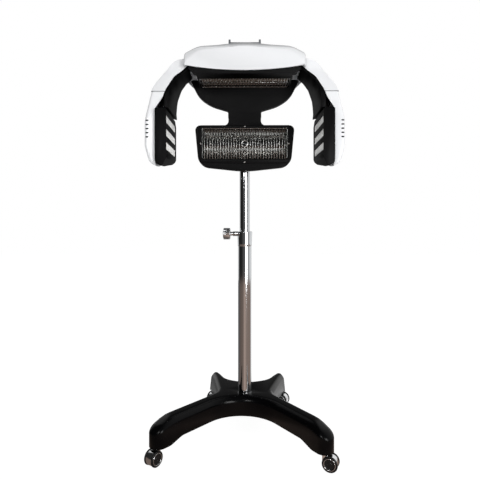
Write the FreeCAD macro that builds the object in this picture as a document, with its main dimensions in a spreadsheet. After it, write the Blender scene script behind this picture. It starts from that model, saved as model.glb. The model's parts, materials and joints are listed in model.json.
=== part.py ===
"""Hair color processor: an infrared hood with two side arms on a rolling, telescopic stand.

Millimetres. The origin is on the floor under the column axis, +Z is up and the open front of
the hood faces -Y. Driving sizes are in the spreadsheet, and each piece is one labelled object.
"""
import FreeCAD, Part
import math
import os
import Sketcher
from FreeCAD import Placement, Rotation, Vector

SIZES = [
    # stand
    ("base_yaw", -3, "turn of the base under the head, degrees"),
    ("front_stem_x", 268, "front caster stem, sideways"),
    ("front_stem_y", 262, "front caster stem, forward"),
    ("rear_stem_x", 134, "rear caster stem, sideways"),
    ("rear_stem_y", 228, "rear caster stem, backward"),
    ("front_leg_angle", 51.5, "front leg from the X axis, degrees"),
    ("rear_leg_angle", 75, "rear leg from the X axis, degrees"),
    ("front_leg_width", 62, "cover over a front leg"),
    ("rear_leg_width", 56, "cover over a rear leg"),
    ("front_arch_radius", 144, "plan radius between the front legs"),
    ("side_arch_radius", 60, "plan radius between front and rear leg"),
    ("rear_arch_radius", 94, "plan radius between the rear legs"),
    ("leg_nose", 24, "cover past the stem"),
    ("crown_height", 142, "top of the base cover"),
    ("crown_round", 25, "rounding of the cover's top edge"),
    ("inlet_foot", 84, "lower edge of the power inlet"),
    ("tip_bottom", 55, "lower edge of the cover at the tips"),
    ("hub_bottom", 71, "lower edge of the cover elsewhere"),
    ("tip_run", 38, "plan length over which the lower edge falls to the tips"),
    ("cover_wall", 3, "wall of the base cover"),
    ("bar_width", 38, "steel bars of the base frame"),
    ("bar_bottom", 78, "underside of the bars"),
    ("bar_height", 20, "height of the bars"),
    ("socket_height", 56, "column socket, from the underside of the bars"),
    # casters
    ("wheel_diameter", 50, "caster wheel"),
    ("wheel_face", 6, "width of each wheel beside the hood"),
    ("hood_width", 24, "caster hood between the wheels"),
    ("hood_diameter", 47, "caster hood"),
    ("caster_trail", 16, "axle behind the stem"),
    ("stem_diameter", 11, "caster stem"),
    ("axle_diameter", 6, "caster axle"),
    ("front_right_turn", 67, "caster heading, degrees"),
    ("front_left_turn", -34, "caster heading, degrees"),
    ("rear_right_turn", 60, "caster heading, degrees"),
    ("rear_left_turn", -40, "caster heading, degrees"),
    # column
    ("outer_tube", 50, "outside of the lower tube"),
    ("inner_tube", 38, "outside of the mast"),
    ("tube_wall", 1.5, "wall of both tubes"),
    ("column_top", 737, "top of the clamp collar"),
    ("collar_height", 54, "clamp collar"),
    ("collar_wall", 2.6, "collar at its top"),
    ("bush_height", 40, "guide bush in the lower tube"),
    ("mast_bottom", 430, "lower end of the mast"),
    ("mast_top", 1168, "upper end of the mast"),
    ("running_gap", 0.05, "radial clearance of a running fit"),
    ("seat_gap", 0.3, "gap between faces that move past each other"),
    ("lock_edge", 8, "axis of the lock screw under the top of the collar"),
    ("lock_height", "=column_top - lock_edge", "axis of the lock screw"),
    ("lock_screw", 8, "lock screw"),
    ("boss_diameter", 18, "boss round the lock screw"),
    ("boss_reach", 44, "boss from the column axis"),
    ("knob_diameter", 43, "lock knob"),
    ("knob_depth", 27, "lock knob"),
    ("knob_start", 54, "knob from the column axis"),
    # head mount
    ("tilt_height", 1205, "tilt axis of the head"),
    ("tilt_pin", 10, "tilt pin"),
    ("yoke_wall", 5, "yoke round the mast"),
    ("yoke_grip", 60, "mast inside the yoke"),
    ("yoke_half", 20, "half width of the yoke's eye"),
    ("yoke_eye", 22, "radius of the yoke's eye"),
    ("cheek_plate", 4, "steel of the spine cheeks"),
    ("spine_plate", 3, "steel of the spine's deck"),
    ("deck_height", 1296, "underside of the deck"),
    # rear fascia and its shell
    ("fascia_front", 60, "front face of the fascia, forward"),
    ("fascia_depth", 25, "front shell of the fascia"),
    ("back_depth", 5, "rear shell behind it"),
    ("shell_wall", 3, "wall of the head's mouldings"),
    ("panel_half", 181, "half width of the nape panel"),
    ("panel_foot", 167, "half width near the panel's foot"),
    ("panel_top", 1124, "top edge of the nape panel"),
    ("panel_bottom", 957, "bottom edge of the nape panel"),
    ("neck_half", 59, "half width of the neck"),
    ("neck_top", 1177, "neck meets the shield"),
    ("shield_half", 198, "half width of the shield"),
    ("shield_sole", 19, "flat foot of the shield over the neck's end"),
    ("shield_knee", 49, "round corner of the shield over the neck's end"),
    ("spine_half", 61, "half width of the spine bulge"),
    ("spine_back", 52, "back of the spine bulge"),
    ("spine_foot", 1150, "open foot of the spine bulge"),
    # heaters
    ("window_half", 155.5, "half width of a heater window"),
    ("window_height", 114, "height of a heater window"),
    ("window_middle", 1057, "middle of the nape window"),
    ("wire_diameter", 1.8, "guard wire"),
    ("wire_pitch", 10, "guard wires"),
    ("lamp_diameter", 10, "quartz lamp"),
    ("lamp_rows", 56, "between the two lamps of a heater"),
    ("reflector_depth", 18, "reflector tray"),
    ("sheet_metal", 1, "reflector sheet"),
    # hood
    ("hood_half", 212, "half width of the hood cover"),
    ("hood_knee", 47, "from the end of the hood to its knee"),
    ("hood_front", 226, "front face of the hood cover, forward"),
    ("hood_back", 62, "rear end of the hood cover"),
    ("hood_lip", 1273, "lip at the middle"),
    ("lip_rise", 17, "lip higher at the ends"),
    ("lip_radius", 1150, "bow of the lip"),
    ("hood_crown", 1418, "top of the hood cover"),
    ("liner_height", 1260, "underside of the hood liner"),
    ("liner_half", 160, "half width of the liner's ceiling"),
    ("top_window_front", 166, "front edge of the top heater, forward"),
    # side arms
    ("hinge_x", 170, "arm hinge, sideways"),
    ("hinge_z", 1312, "arm hinge, height"),
    ("hinge_pin", 8, "arm hinge pin"),
    ("barrel_diameter", 20, "arm hinge barrel"),
    ("barrel_length", 54, "arm hinge barrel"),
    ("arm_middle", 135, "middle of the arm, forward"),
    ("arm_half", 58, "half depth of the arm at the hood"),
    ("arm_foot_half", 88, "half depth of the arm at the seam"),
    ("seam_height", 1201, "seam of arm shell and pod shell"),
    ("strap_plate", 4, "steel strap in the arm"),
    ("strap_width", 40, "steel strap in the arm"),
    ("pod_face", 254, "heater face of a pod, sideways"),
    ("pod_back", 291, "back of the pod housing, sideways"),
    ("pod_front", 240, "front of the pod, forward"),
    ("pod_rear", 24, "rear of the pod, forward"),
    ("pod_top", 1144, "top of the pod housing"),
    ("pod_sill", 982, "lower edge of the heater face"),
    ("pod_bottom", 955, "lowest edge of the pod"),
    ("pod_width", 327, "outer face of the pod shell, sideways"),
    ("slot_height", 26, "window of a pod"),
    ("slot_pitch", 44, "windows of a pod"),
    ("slot_middle", 1067, "middle window of a pod"),
    ("vent_pitch", 7, "vent slots of the pod shell"),
    # console
    ("console_half", 59, "half width of the console"),
    ("console_front", 50, "front of the console, forward"),
    ("console_rear", 66, "rear of the console"),
    ("console_step", 12, "front edge of the console over the crown of the hood"),
    ("console_fall", 46, "fall of the console to its rear edge"),
    ("console_top", "=hood_crown + console_step", "front edge of the console"),
    ("console_foot", "=console_top - console_fall", "rear edge of the console"),
    ("horn_rise", 17, "cheeks over the front edge of the console"),
    ("display_place", 26, "display down the console's slope"),
    ("button_place", 62, "buttons down the console's slope"),
    ("rocker_place", 92, "power rocker down the console's slope"),
    ("button_diameter", 12, "console button"),
    ("button_travel", 1.5, "console button"),
]

doc = FreeCAD.newDocument("HairProcessor")
sheet = doc.addObject("Spreadsheet::Sheet", "Sizes")
for row, (alias, number, meaning) in enumerate(SIZES, start=1):
    sheet.set(f"A{row}", meaning)
    sheet.set(f"B{row}", str(number))
    sheet.setAlias(f"B{row}", alias)
doc.recompute()


class Sheet:
    """The driving sizes, read back from the spreadsheet by name."""

    def __getattr__(self, alias):
        return float(sheet.get(alias))


d = Sheet()
PIECES = []
BIG = 2000.0


# ---------------------------------------------------------------- drawing

def bind(item, **expressions):
    """Tie properties of an object to the spreadsheet; a double underscore stands for a dot."""
    for name, expression in expressions.items():
        item.setExpression(name.replace("__", "."), expression)


def cell(text):
    """An expression in which every word is a size of the spreadsheet."""
    words = []
    for word in text.replace("(", " ( ").replace(")", " ) ").split():
        words.append("Sizes." + word if word[0].isalpha() else word)
    return " ".join(words)


def keep(item, label):
    item.Label = label
    PIECES.append(item)
    return item


def corner(before, here, after):
    """Tangent points and middle point of the arc that rounds one corner."""
    a = Vector(before[0] - here[0], before[1] - here[1], 0)
    b = Vector(after[0] - here[0], after[1] - here[1], 0)
    a.normalize()
    b.normalize()
    half = math.acos(max(-1.0, min(1.0, a.dot(b)))) / 2
    point = Vector(here[0], here[1], 0)
    reach = here[2] / math.tan(half)
    bisector = (a + b).normalize()
    middle = point + bisector * (here[2] / math.sin(half) - here[2])
    return point + a * reach, middle, point + b * reach


def edges_of(outline):
    """Lines and arcs of a closed outline of (x, y) or (x, y, corner radius)."""
    points = [(p[0], p[1], p[2] if len(p) > 2 else 0.0) for p in outline]
    starts = []
    ends = []
    arcs = []
    for i, here in enumerate(points):
        if here[2] > 0:
            first, middle, last = corner(points[i - 1], here, points[(i + 1) % len(points)])
            arcs.append(Part.Arc(first, middle, last))
        else:
            first = last = Vector(here[0], here[1], 0)
            arcs.append(None)
        starts.append(first)
        ends.append(last)
    result = []
    for i in range(len(points)):
        if arcs[i]:
            result.append(arcs[i])
        following = starts[(i + 1) % len(points)]
        if ends[i].distanceToPoint(following) > 1e-4:
            result.append(Part.LineSegment(ends[i], following))
    return result


def inset(outline, distance):
    """A closed anticlockwise outline moved inward, its corner radii following."""
    points = [(p[0], p[1], p[2] if len(p) > 2 else 0.0) for p in outline]
    count = len(points)
    lines = []
    for i in range(count):
        p = Vector(points[i][0], points[i][1], 0)
        q = Vector(points[(i + 1) % count][0], points[(i + 1) % count][1], 0)
        along = (q - p).normalize()
        normal = Vector(-along.y, along.x, 0)
        lines.append((p + normal * distance, along))
    result = []
    for i in range(count):
        p, u = lines[i - 1]
        q, v = lines[i]
        turn = u.x * v.y - u.y * v.x
        t = ((q.x - p.x) * v.y - (q.y - p.y) * v.x) / turn
        radius = points[i][2]
        if radius > 0:
            radius = max(0.2, radius - distance if turn > 0 else radius + distance)
        result.append((p.x + u.x * t, p.y + u.y * t, radius))
    return result


def mirrored(points):
    """Outline points of the right side, and the same ones on the left in reverse."""
    left = [(-p[0],) + tuple(p[1:]) for p in reversed(points) if abs(p[0]) > 1e-6]
    return points + left


def box(x0, y0, x1, y1, radius=0.0):
    return [(x0, y0, radius), (x1, y0, radius), (x1, y1, radius), (x0, y1, radius)]


def sided(side, outline):
    """An outline of the right-hand side, moved to the given side."""
    if side > 0:
        return outline
    return [(-p[0],) + tuple(p[1:]) for p in reversed(outline)]


# ---------------------------------------------------------------- features

class Piece:
    """A PartDesign body, built up feature by feature."""

    PLANES = {"XY": ("XY_Plane", 1), "XZ": ("XZ_Plane", -1), "YZ": ("YZ_Plane", 1)}

    def __init__(self, label, kept=True):
        self.body = doc.addObject("PartDesign::Body", label)
        if kept:
            keep(self.body, label)

    def sketch(self, plane, shapes, start="0"):
        """Closed outlines and circles (x, y, radius expression) on a plane through start."""
        role, sign = self.PLANES[plane]
        drawing = self.body.newObject("Sketcher::SketchObject", self.body.Name + "_sketch")
        support = [f for f in self.body.Origin.OriginFeatures if f.Role == role][0]
        drawing.AttachmentSupport = [(support, "")]
        drawing.MapMode = "FlatFace"
        offset = cell(start) if sign > 0 else "-( " + cell(start) + " )"
        drawing.setExpression("AttachmentOffset.Base.z", offset)
        for shape in shapes:
            if isinstance(shape, tuple):
                self.circle(drawing, *shape)
            else:
                drawing.addGeometry(edges_of(shape), False)
        return drawing

    def circle(self, drawing, x, y, radius):
        number = drawing.addGeometry(Part.Circle(Vector(x, y, 0), Vector(0, 0, 1), 5.0), False)
        for kind, place in (("DistanceX", x), ("DistanceY", y)):
            if abs(place) > 1e-6:
                drawing.addConstraint(Sketcher.Constraint(kind, -1, 1, number, 3, place))
            else:
                drawing.addConstraint(Sketcher.Constraint(kind, -1, 1, number, 3, 0.0))
        index = drawing.addConstraint(Sketcher.Constraint("Radius", number, 5.0))
        drawing.setExpression(f"Constraints[{index}]", cell(radius))

    def pad(self, plane, shapes, start, length):
        """Grow from start towards +Z, -Y or +X."""
        feature = self.body.newObject("PartDesign::Pad", self.body.Name + "_pad")
        feature.Profile = self.sketch(plane, shapes, start)
        feature.setExpression("Length", cell(length))
        doc.recompute()
        return self

    def cut(self, plane, shapes, start, length):
        """Cut from start towards +Z, -Y or +X."""
        before = self.body.Shape.Volume
        feature = self.body.newObject("PartDesign::Pocket", self.body.Name + "_cut")
        feature.Profile = self.sketch(plane, shapes, start)
        feature.Reversed = True
        feature.setExpression("Length", cell(length))
        doc.recompute()
        if self.body.Shape.Volume > before - 0.01:
            raise RuntimeError(feature.Name + " cut nothing")
        return self

    def trim(self, plane, outline):
        """Keep only what lies inside the outline."""
        frame = box(-BIG, -BIG, BIG, BIG)
        start = {"XY": "-2000", "XZ": "2000", "YZ": "-2000"}[plane]
        return self.cut(plane, [frame, outline], start, "4000")

    def turn(self, plane, outline, axis):
        """Revolve an outline about the sketch's H_Axis or V_Axis."""
        feature = self.body.newObject("PartDesign::Revolution", self.body.Name + "_turn")
        drawing = self.sketch(plane, [outline])
        feature.Profile = drawing
        feature.ReferenceAxis = (drawing, [axis])
        feature.Angle = 360.0
        doc.recompute()
        return self

    def loft(self, plane, sections, additive=True):
        """Join outlines at several offsets; each section is (start, outline)."""
        kind = "PartDesign::AdditiveLoft" if additive else "PartDesign::SubtractiveLoft"
        feature = self.body.newObject(kind, self.body.Name + "_loft")
        drawings = [self.sketch(plane, [outline], start) for start, outline in sections]
        feature.Profile = drawings[0]
        feature.Sections = drawings[1:]
        doc.recompute()
        return self

    def fillet(self, radius, chosen):
        """Round the edges for which chosen(edge) holds."""
        tip = self.body.Tip
        names = [f"Edge{i}" for i, edge in enumerate(tip.Shape.Edges, start=1) if chosen(edge)]
        feature = self.body.newObject("PartDesign::Fillet", self.body.Name + "_fillet")
        feature.Base = (tip, names)
        feature.setExpression("Radius", cell(radius))
        doc.recompute()
        return self

    def place(self, x="0", y="0", z="0", turn="0"):
        """Put the body at a place, turned about the vertical."""
        self.body.Placement = Placement(Vector(0, 0, 0), Rotation(Vector(0, 0, 1), 1))
        bind(self.body, Placement__Base__x=x, Placement__Base__y=y, Placement__Base__z=z)
        bind(self.body, Placement__Rotation__Angle=turn)
        doc.recompute()
        return self


def combine(kind, label, items, kept=True):
    """A boolean or a group of finished objects."""
    name = label if kept else label + "_tool"
    item = doc.addObject(kind, name)
    if kind == "Part::Cut":
        item.Base, item.Tool = items
    elif kind == "Part::Compound":
        item.Links = items
    else:
        item.Shapes = items
    doc.recompute()
    return keep(item, label) if kept else item


def rod(name, radius, height, x, y, z, axis):
    """A round bar from a point along X, Y or Z, its sizes as expressions."""
    item = doc.addObject("Part::Cylinder", name)
    bind(item, Radius=cell(radius), Height=cell(height))
    turns = {"X": Rotation(Vector(0, 1, 0), 90), "Y": Rotation(Vector(1, 0, 0), -90),
             "Z": Rotation()}
    item.Placement = Placement(Vector(0, 0, 0), turns[axis])
    bind(item, Placement__Base__x=cell(x), Placement__Base__y=cell(y), Placement__Base__z=cell(z))
    return item


# ---------------------------------------------------------------- stand

def meet(p, u, q, v):
    """Where two plan lines, each a point and a direction, cross."""
    turn = u[0] * v[1] - u[1] * v[0]
    t = ((q[0] - p[0]) * v[1] - (q[1] - p[1]) * v[0]) / turn
    return (p[0] + u[0] * t, p[1] + u[1] * t)


def star(front_half, rear_half, nose, side_radius):
    """Plan outline of four legs, anticlockwise from the front middle."""
    a = math.radians(d.front_leg_angle)
    b = math.radians(d.rear_leg_angle)
    front = (math.cos(a), -math.sin(a))
    rear = (math.cos(b), math.sin(b))
    front_out = (math.sin(a), math.cos(a))
    rear_out = (math.sin(b), -math.cos(b))
    stem_f = (d.front_stem_x, -d.front_stem_y)
    stem_r = (d.rear_stem_x, d.rear_stem_y)

    def beside(stem, along, out, reach, aside):
        return (stem[0] + along[0] * reach + out[0] * aside,
                stem[1] + along[1] * reach + out[1] * aside)

    inner = beside(stem_f, front, front_out, 0, -front_half)
    middle_front = meet(inner, front, (0, 0), (0, 1))
    tip_1 = beside(stem_f, front, front_out, nose, -front_half)
    tip_2 = beside(stem_f, front, front_out, nose, front_half)
    outer_rear = beside(stem_r, rear, rear_out, 0, rear_half)
    side = meet(tip_2, front, outer_rear, rear)
    tip_3 = beside(stem_r, rear, rear_out, nose * 0.8, rear_half)
    tip_4 = beside(stem_r, rear, rear_out, nose * 0.8, -rear_half)
    middle_rear = meet(tip_4, rear, (0, 0), (0, 1))
    slack = front_half - d.front_leg_width / 2
    nose_round = 0.98
    right = [
        (0, middle_front[1], d.front_arch_radius + slack),
        tip_1 + (front_half * nose_round,),
        tip_2 + (front_half * nose_round,),
        side + (side_radius,),
        tip_3 + (rear_half * nose_round,),
        tip_4 + (rear_half * nose_round,),
        (0, middle_rear[1], d.rear_arch_radius),
    ]
    return mirrored(right)


def foot_line():
    """Side view of what lies over the cover's lower edge, which falls to the leg tips."""
    margin = 60
    front = -d.front_stem_y
    rear = d.rear_stem_y
    reach = 6
    top = d.crown_height + margin
    return [
        (front - margin, d.tip_bottom),
        (front + reach, d.tip_bottom, 30),
        (front + reach + d.tip_run, d.hub_bottom, 30),
        (rear - reach - d.tip_run, d.hub_bottom, 30),
        (rear - reach, d.tip_bottom, 30),
        (rear + margin, d.tip_bottom),
        (rear + margin, top),
        (front - margin, top),
    ]


def loaf(name, plan, low, top, rounding):
    """Solid over a plan outline with a rounded top edge."""
    part = Piece(name, kept=False)
    part.pad("XY", [plan], low, top + " - ( " + low + " )")
    level = part.body.Shape.BoundBox.ZMax - 0.1
    part.fillet(rounding, lambda edge: edge.BoundBox.ZMin > level)
    return part


def rear_face():
    """Distance of the rear arch from the column axis."""
    plan = star(d.front_leg_width / 2, d.rear_leg_width / 2, d.leg_nose, d.side_arch_radius)
    corner_y = [p for p in plan if abs(p[0]) < 1e-6][1][1]
    b = math.radians(d.rear_leg_angle)
    return corner_y + d.rear_arch_radius * (1 / math.cos(b) - 1)


def make_base_cover():
    """Moulded cover with four rounded legs, hollow from below."""
    plan = star(d.front_leg_width / 2, d.rear_leg_width / 2, d.leg_nose, d.side_arch_radius)
    outer = loaf("base_skirt", plan, "tip_bottom - 5", "crown_height", "crown_round")
    outer.trim("YZ", foot_line())
    hollow = loaf("base_hollow", inset(plan, d.cover_wall), "0", "crown_height - cover_wall",
                  "crown_round - cover_wall")
    hub = rod("base_hub_hole", "outer_tube / 2 + seat_gap", "200", "0", "0", "60", "Z")
    port = doc.addObject("Part::Box", "base_port_hole")
    bind(port, Length="28", Width="60", Height="21")
    bind(port, Placement__Base__x="-14")
    port.Placement.Base.y = rear_face() - 30
    bind(port, Placement__Base__z=cell("inlet_foot + 3"))
    hole = combine("Part::MultiFuse", "base_inner", [hollow.body, hub, port], kept=False)
    cover = combine("Part::Cut", "base_cover", [outer.body, hole])
    turn_with_base(cover)


def turn_with_base(item):
    item.Placement = Placement(Vector(0, 0, 0), Rotation(Vector(0, 0, 1), 1))
    bind(item, Placement__Rotation__Angle=cell("base_yaw") + " * 1deg")
    doc.recompute()


def make_base_frame():
    """Welded steel bars under the cover, a socket for the column and a boss at each stem."""
    part = Piece("base_frame")
    half = d.bar_width / 2
    plan = star(half, half, 14, 30)
    part.pad("XY", [plan], "bar_bottom", "bar_height")
    part.pad("XY", [(0, 0, "outer_tube / 2 + 4")], "bar_bottom", "socket_height")
    part.cut("XY", [(0, 0, "outer_tube / 2 + running_gap")], "bar_bottom + 6", "100")
    for x, y in stems():
        part.pad("XY", [(x, y, "stem_diameter")], "tip_bottom + 2", "bar_bottom - tip_bottom - 1")
        part.cut("XY", [(x, y, "stem_diameter / 2 + running_gap")], "tip_bottom", "38")
    turn_with_base(part.body)


def stems():
    """Plan places of the four caster stems, before the base is turned."""
    front = [(x, -d.front_stem_y) for x in (d.front_stem_x, -d.front_stem_x)]
    rear = [(x, d.rear_stem_y) for x in (d.rear_stem_x, -d.rear_stem_x)]
    return front + rear


def make_base_screws():
    """Screws that hold the cover to the bars, one over each leg, under the roof."""
    screws = []
    for number, (x, y) in enumerate(stems()):
        angle = math.radians(d.front_leg_angle if y < 0 else d.rear_leg_angle)
        back = 90 if y < 0 else 60
        shank = doc.addObject("Part::Cylinder", f"base_screw_{number}")
        bind(shank, Radius="3", Height="12")
        shank.Placement.Base = Vector(x - math.copysign(back * math.cos(angle), x),
                                      y - math.copysign(back * math.sin(angle), y),
                                      d.bar_bottom + d.bar_height)
        screws.append(shank)
    group = combine("Part::Compound", "base_screws", screws)
    turn_with_base(group)


def make_power_inlet():
    """Appliance inlet in the rear arch of the cover: a flange outside, a cup inside."""
    face = rear_face()
    sagitta = d.rear_arch_radius - math.sqrt(d.rear_arch_radius ** 2 - 17 ** 2)
    flange = face + sagitta + d.seat_gap + 2.5
    part = Piece("power_inlet")
    foot = d.inlet_foot
    part.pad("XZ", [box(-13.5, foot + 3.5, 13.5, foot + 23.5, 2)], str(round(face + 3, 3)), "24")
    part.pad("XZ", [box(-17, foot, 17, foot + 27, 3)], str(round(flange, 3)), "2.5")
    part.cut("XZ", [box(-12, foot + 5, 12, foot + 22, 4)], str(round(face + 7, 3)), "18")
    for x, z in ((-7, foot + 8), (0, foot + 11), (7, foot + 8)):
        part.pad("XZ", [box(x - 1, z, x + 1, z + 4)], str(round(face + 1, 3)), "14")
    turn_with_base(part.body)


def make_caster(name, x, y, turn):
    """Twin-wheel caster: chrome hood with its stem, and a wheel pair on one axle."""
    c = math.cos(math.radians(d.base_yaw))
    s = math.sin(math.radians(d.base_yaw))
    px, py = x * c - y * s, x * s + y * c
    place = {"x": str(round(px, 3)), "y": str(round(py, 3)), "turn": cell(turn) + " * 1deg"}
    wheel = d.wheel_diameter / 2
    hood = Piece(name + "_hood")
    trail = -d.caster_trail
    hood.pad("YZ", [(trail, wheel, "hood_diameter / 2")], "hood_width / -2", "hood_width")
    hood.pad("XY", [(0, 0, "stem_diameter")], "wheel_diameter / 2", "tip_bottom - 4 - wheel_diameter / 2")
    for start in ("hood_width / -2", "2"):
        hood.cut("YZ", [(trail, wheel, "hood_diameter / 2 - 2.5")], start, "hood_width / 2 - 2")
    hood.cut("YZ", [box(-60, -5, 60, 7)], "-20", "40")
    hood.pad("XY", [(0, 0, "stem_diameter / 2")], "tip_bottom - 6", "38")
    hood.cut("YZ", [(trail, wheel, "axle_diameter / 2 + running_gap")], "-4", "8")
    hood.place(**place)
    inner = d.hood_width / 2
    outer = inner + d.wheel_face
    core = d.hood_diameter / 2 - 2.5 - 0.5
    axle = d.axle_diameter / 2
    ring = wheel * 0.68
    profile = [
        (-outer + 1, 0), (-outer + 1, axle + 3), (-outer + 2.2, axle + 4), (-outer + 2.2, ring - 2),
        (-outer + 0.4, ring), (-outer, ring + 3), (-outer, wheel, 2.5), (-inner - 0.4, wheel, 1.5),
        (-inner - 0.4, core), (-2.6, core), (-2.6, axle), (2.6, axle), (2.6, core),
        (inner + 0.4, core), (inner + 0.4, wheel, 1.5), (outer, wheel, 2.5), (outer, ring + 3),
        (outer - 0.4, ring), (outer - 2.2, ring - 2), (outer - 2.2, axle + 4),
        (outer - 1, axle + 3), (outer - 1, 0),
    ]
    wheels = Piece(name + "_wheels")
    wheels.turn("XZ", profile, "H_Axis")
    heading = math.radians(getattr(d, turn) if turn.isidentifier() else 0)
    wx = px + d.caster_trail * math.sin(heading)
    wy = py - d.caster_trail * math.cos(heading)
    wheels.place(str(round(wx, 3)), str(round(wy, 3)), cell("wheel_diameter / 2"), place["turn"])


def make_casters():
    names = ["front_right", "front_left", "rear_right", "rear_left"]
    for name, (x, y) in zip(names, stems()):
        make_caster("caster_" + name, x, y, name + "_turn")


# ---------------------------------------------------------------- column

def make_outer_tube():
    part = Piece("outer_tube")
    part.pad("XY", [(0, 0, "outer_tube / 2")], "bar_bottom + 6", "column_top - bar_bottom - 8")
    part.cut("XY", [(0, 0, "outer_tube / 2 - tube_wall")], "0", "column_top + 10")
    part.cut("YZ", [(0, d.lock_height, "lock_screw / 2 + 0.2")], "outer_tube / -1", "outer_tube")


def make_collar():
    """Turned sleeve that flares to its top, with a boss for the lock screw."""
    bore = d.outer_tube / 2
    low = d.column_top - d.collar_height
    part = Piece("column_collar")
    profile = [
        (bore, low), (bore + 0.8, low), (bore + 1.2, low + 12, 40),
        (bore + d.collar_wall, d.column_top - 8, 20), (bore + d.collar_wall, d.column_top, 1.5),
        (d.inner_tube / 2 + 1.5, d.column_top), (d.inner_tube / 2 + 1.5, d.column_top - 1.8),
        (bore, d.column_top - 1.8),
    ]
    part.turn("XZ", profile, "V_Axis")
    part.pad("YZ", [(0, d.lock_height, "boss_diameter / 2")],
             "-1 * boss_reach", "boss_reach - outer_tube / 2 - 1")
    part.cut("YZ", [(0, d.lock_height, "lock_screw / 2 + 0.2")], "-80", "70")


def make_guide_bush():
    """Nylon bush between the two tubes, under the collar's lip."""
    part = Piece("guide_bush")
    start = "column_top - 2 - bush_height"
    part.pad("XY", [(0, 0, "outer_tube / 2 - tube_wall")], start, "bush_height")
    part.cut("XY", [(0, 0, "inner_tube / 2 + running_gap")], start, "bush_height + 2")
    part.cut("YZ", [(0, d.lock_height, "lock_screw / 2 + 0.2")], "-40", "40")


def make_lock():
    """Lock screw with a ribbed round knob, its axis across the column."""
    part = Piece("lock_screw")
    part.pad("YZ", [(0, d.lock_height, "lock_screw / 2")],
             "-1 * knob_start - 14", "knob_start + 14 - inner_tube / 2 - seat_gap")
    knob = Piece("lock_knob")
    radius = d.knob_diameter / 2
    near = -d.knob_start
    far = near - d.knob_depth
    profile = [
        (far, 0), (far, radius * 0.72), (far + 1.5, radius * 0.78), (far + 1.5, radius, 2),
        (near, radius, 4), (near, 9), (near + 4, 7.5, 2), (-d.boss_reach - d.seat_gap, 7),
        (-d.boss_reach - d.seat_gap, 0),
    ]
    knob.turn("XZ", profile, "H_Axis")
    notch = radius + 2.2
    for step in range(12):
        angle = math.radians(30 * step)
        knob.cut("YZ", [(notch * math.cos(angle), notch * math.sin(angle), "3.4")],
                 "-1 * knob_start - knob_depth - 1", "knob_depth + 2")
    knob.cut("YZ", [(0, 0, "lock_screw / 2")], "-1 * knob_start - 14", "40")
    knob.place(z=cell("lock_height"))


def make_mast():
    part = Piece("inner_tube")
    part.pad("XY", [(0, 0, "inner_tube / 2")], "mast_bottom", "mast_top - mast_bottom")
    part.cut("XY", [(0, 0, "inner_tube / 2 - tube_wall")], "0", "mast_top + 10")
    slider = Piece("tube_slider")
    slider.pad("XY", [(0, 0, "outer_tube / 2 - tube_wall - running_gap")], "mast_bottom", "30")
    slider.cut("XY", [(0, 0, "inner_tube / 2")], "mast_bottom", "40")


# ---------------------------------------------------------------- head mount

def make_yoke():
    """Cast socket over the mast with an eye for the tilt pin."""
    part = Piece("head_yoke")
    part.pad("XY", [(0, 0, "inner_tube / 2 + yoke_wall")], "mast_top - yoke_grip", "yoke_grip + 12")
    part.pad("YZ", [(0, d.tilt_height, "yoke_eye")], "-1 * yoke_half", "yoke_half * 2")
    low = d.mast_top + 2
    part.pad("YZ", [box(-d.yoke_eye, low, d.yoke_eye, d.tilt_height)], "-1 * yoke_half", "yoke_half * 2")
    part.cut("XY", [(0, 0, "inner_tube / 2 + running_gap")], "0", "mast_top + seat_gap")
    part.cut("YZ", [(0, d.tilt_height, "tilt_pin / 2 + running_gap")], "-40", "80")


def make_spine():
    """Bent steel: two cheeks for the tilt pin under a deck that carries the hood and arms."""
    part = Piece("spine_bracket")
    reach = d.hinge_x + 14
    front = d.arm_middle + d.barrel_length / 2 + 12
    deck = mirrored([(40, -70, 12), (d.hinge_x - 30, -front, 12), (reach, -front, 6),
                     (reach, -d.arm_middle + 42, 12), (60, 26, 20)])
    part.pad("XY", [deck], "deck_height", "spine_plate")
    nose = d.shell_wall + d.seat_gap - d.fascia_front
    cheek = [(-28, d.deck_height, 0), (-28, d.tilt_height + 76, 8), (nose, d.tilt_height + 70, 3),
             (nose, d.tilt_height + 26, 3), (-28, d.tilt_height + 14, 10), (-28, d.tilt_height - 20, 16),
             (24, d.tilt_height - 24, 22), (24, d.deck_height, 0)]
    for start in ("yoke_half + seat_gap", "-1 * yoke_half - seat_gap - cheek_plate"):
        part.pad("YZ", [cheek], start, "cheek_plate")
    part.cut("YZ", [(0, d.tilt_height, "tilt_pin / 2")], "-60", "120")
    pin = Piece("tilt_pin")
    half = "yoke_half + seat_gap + cheek_plate + 6"
    pin.pad("YZ", [(0, d.tilt_height, "tilt_pin / 2")], "-1 * ( " + half + " )", "2 * ( " + half + " )")


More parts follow.
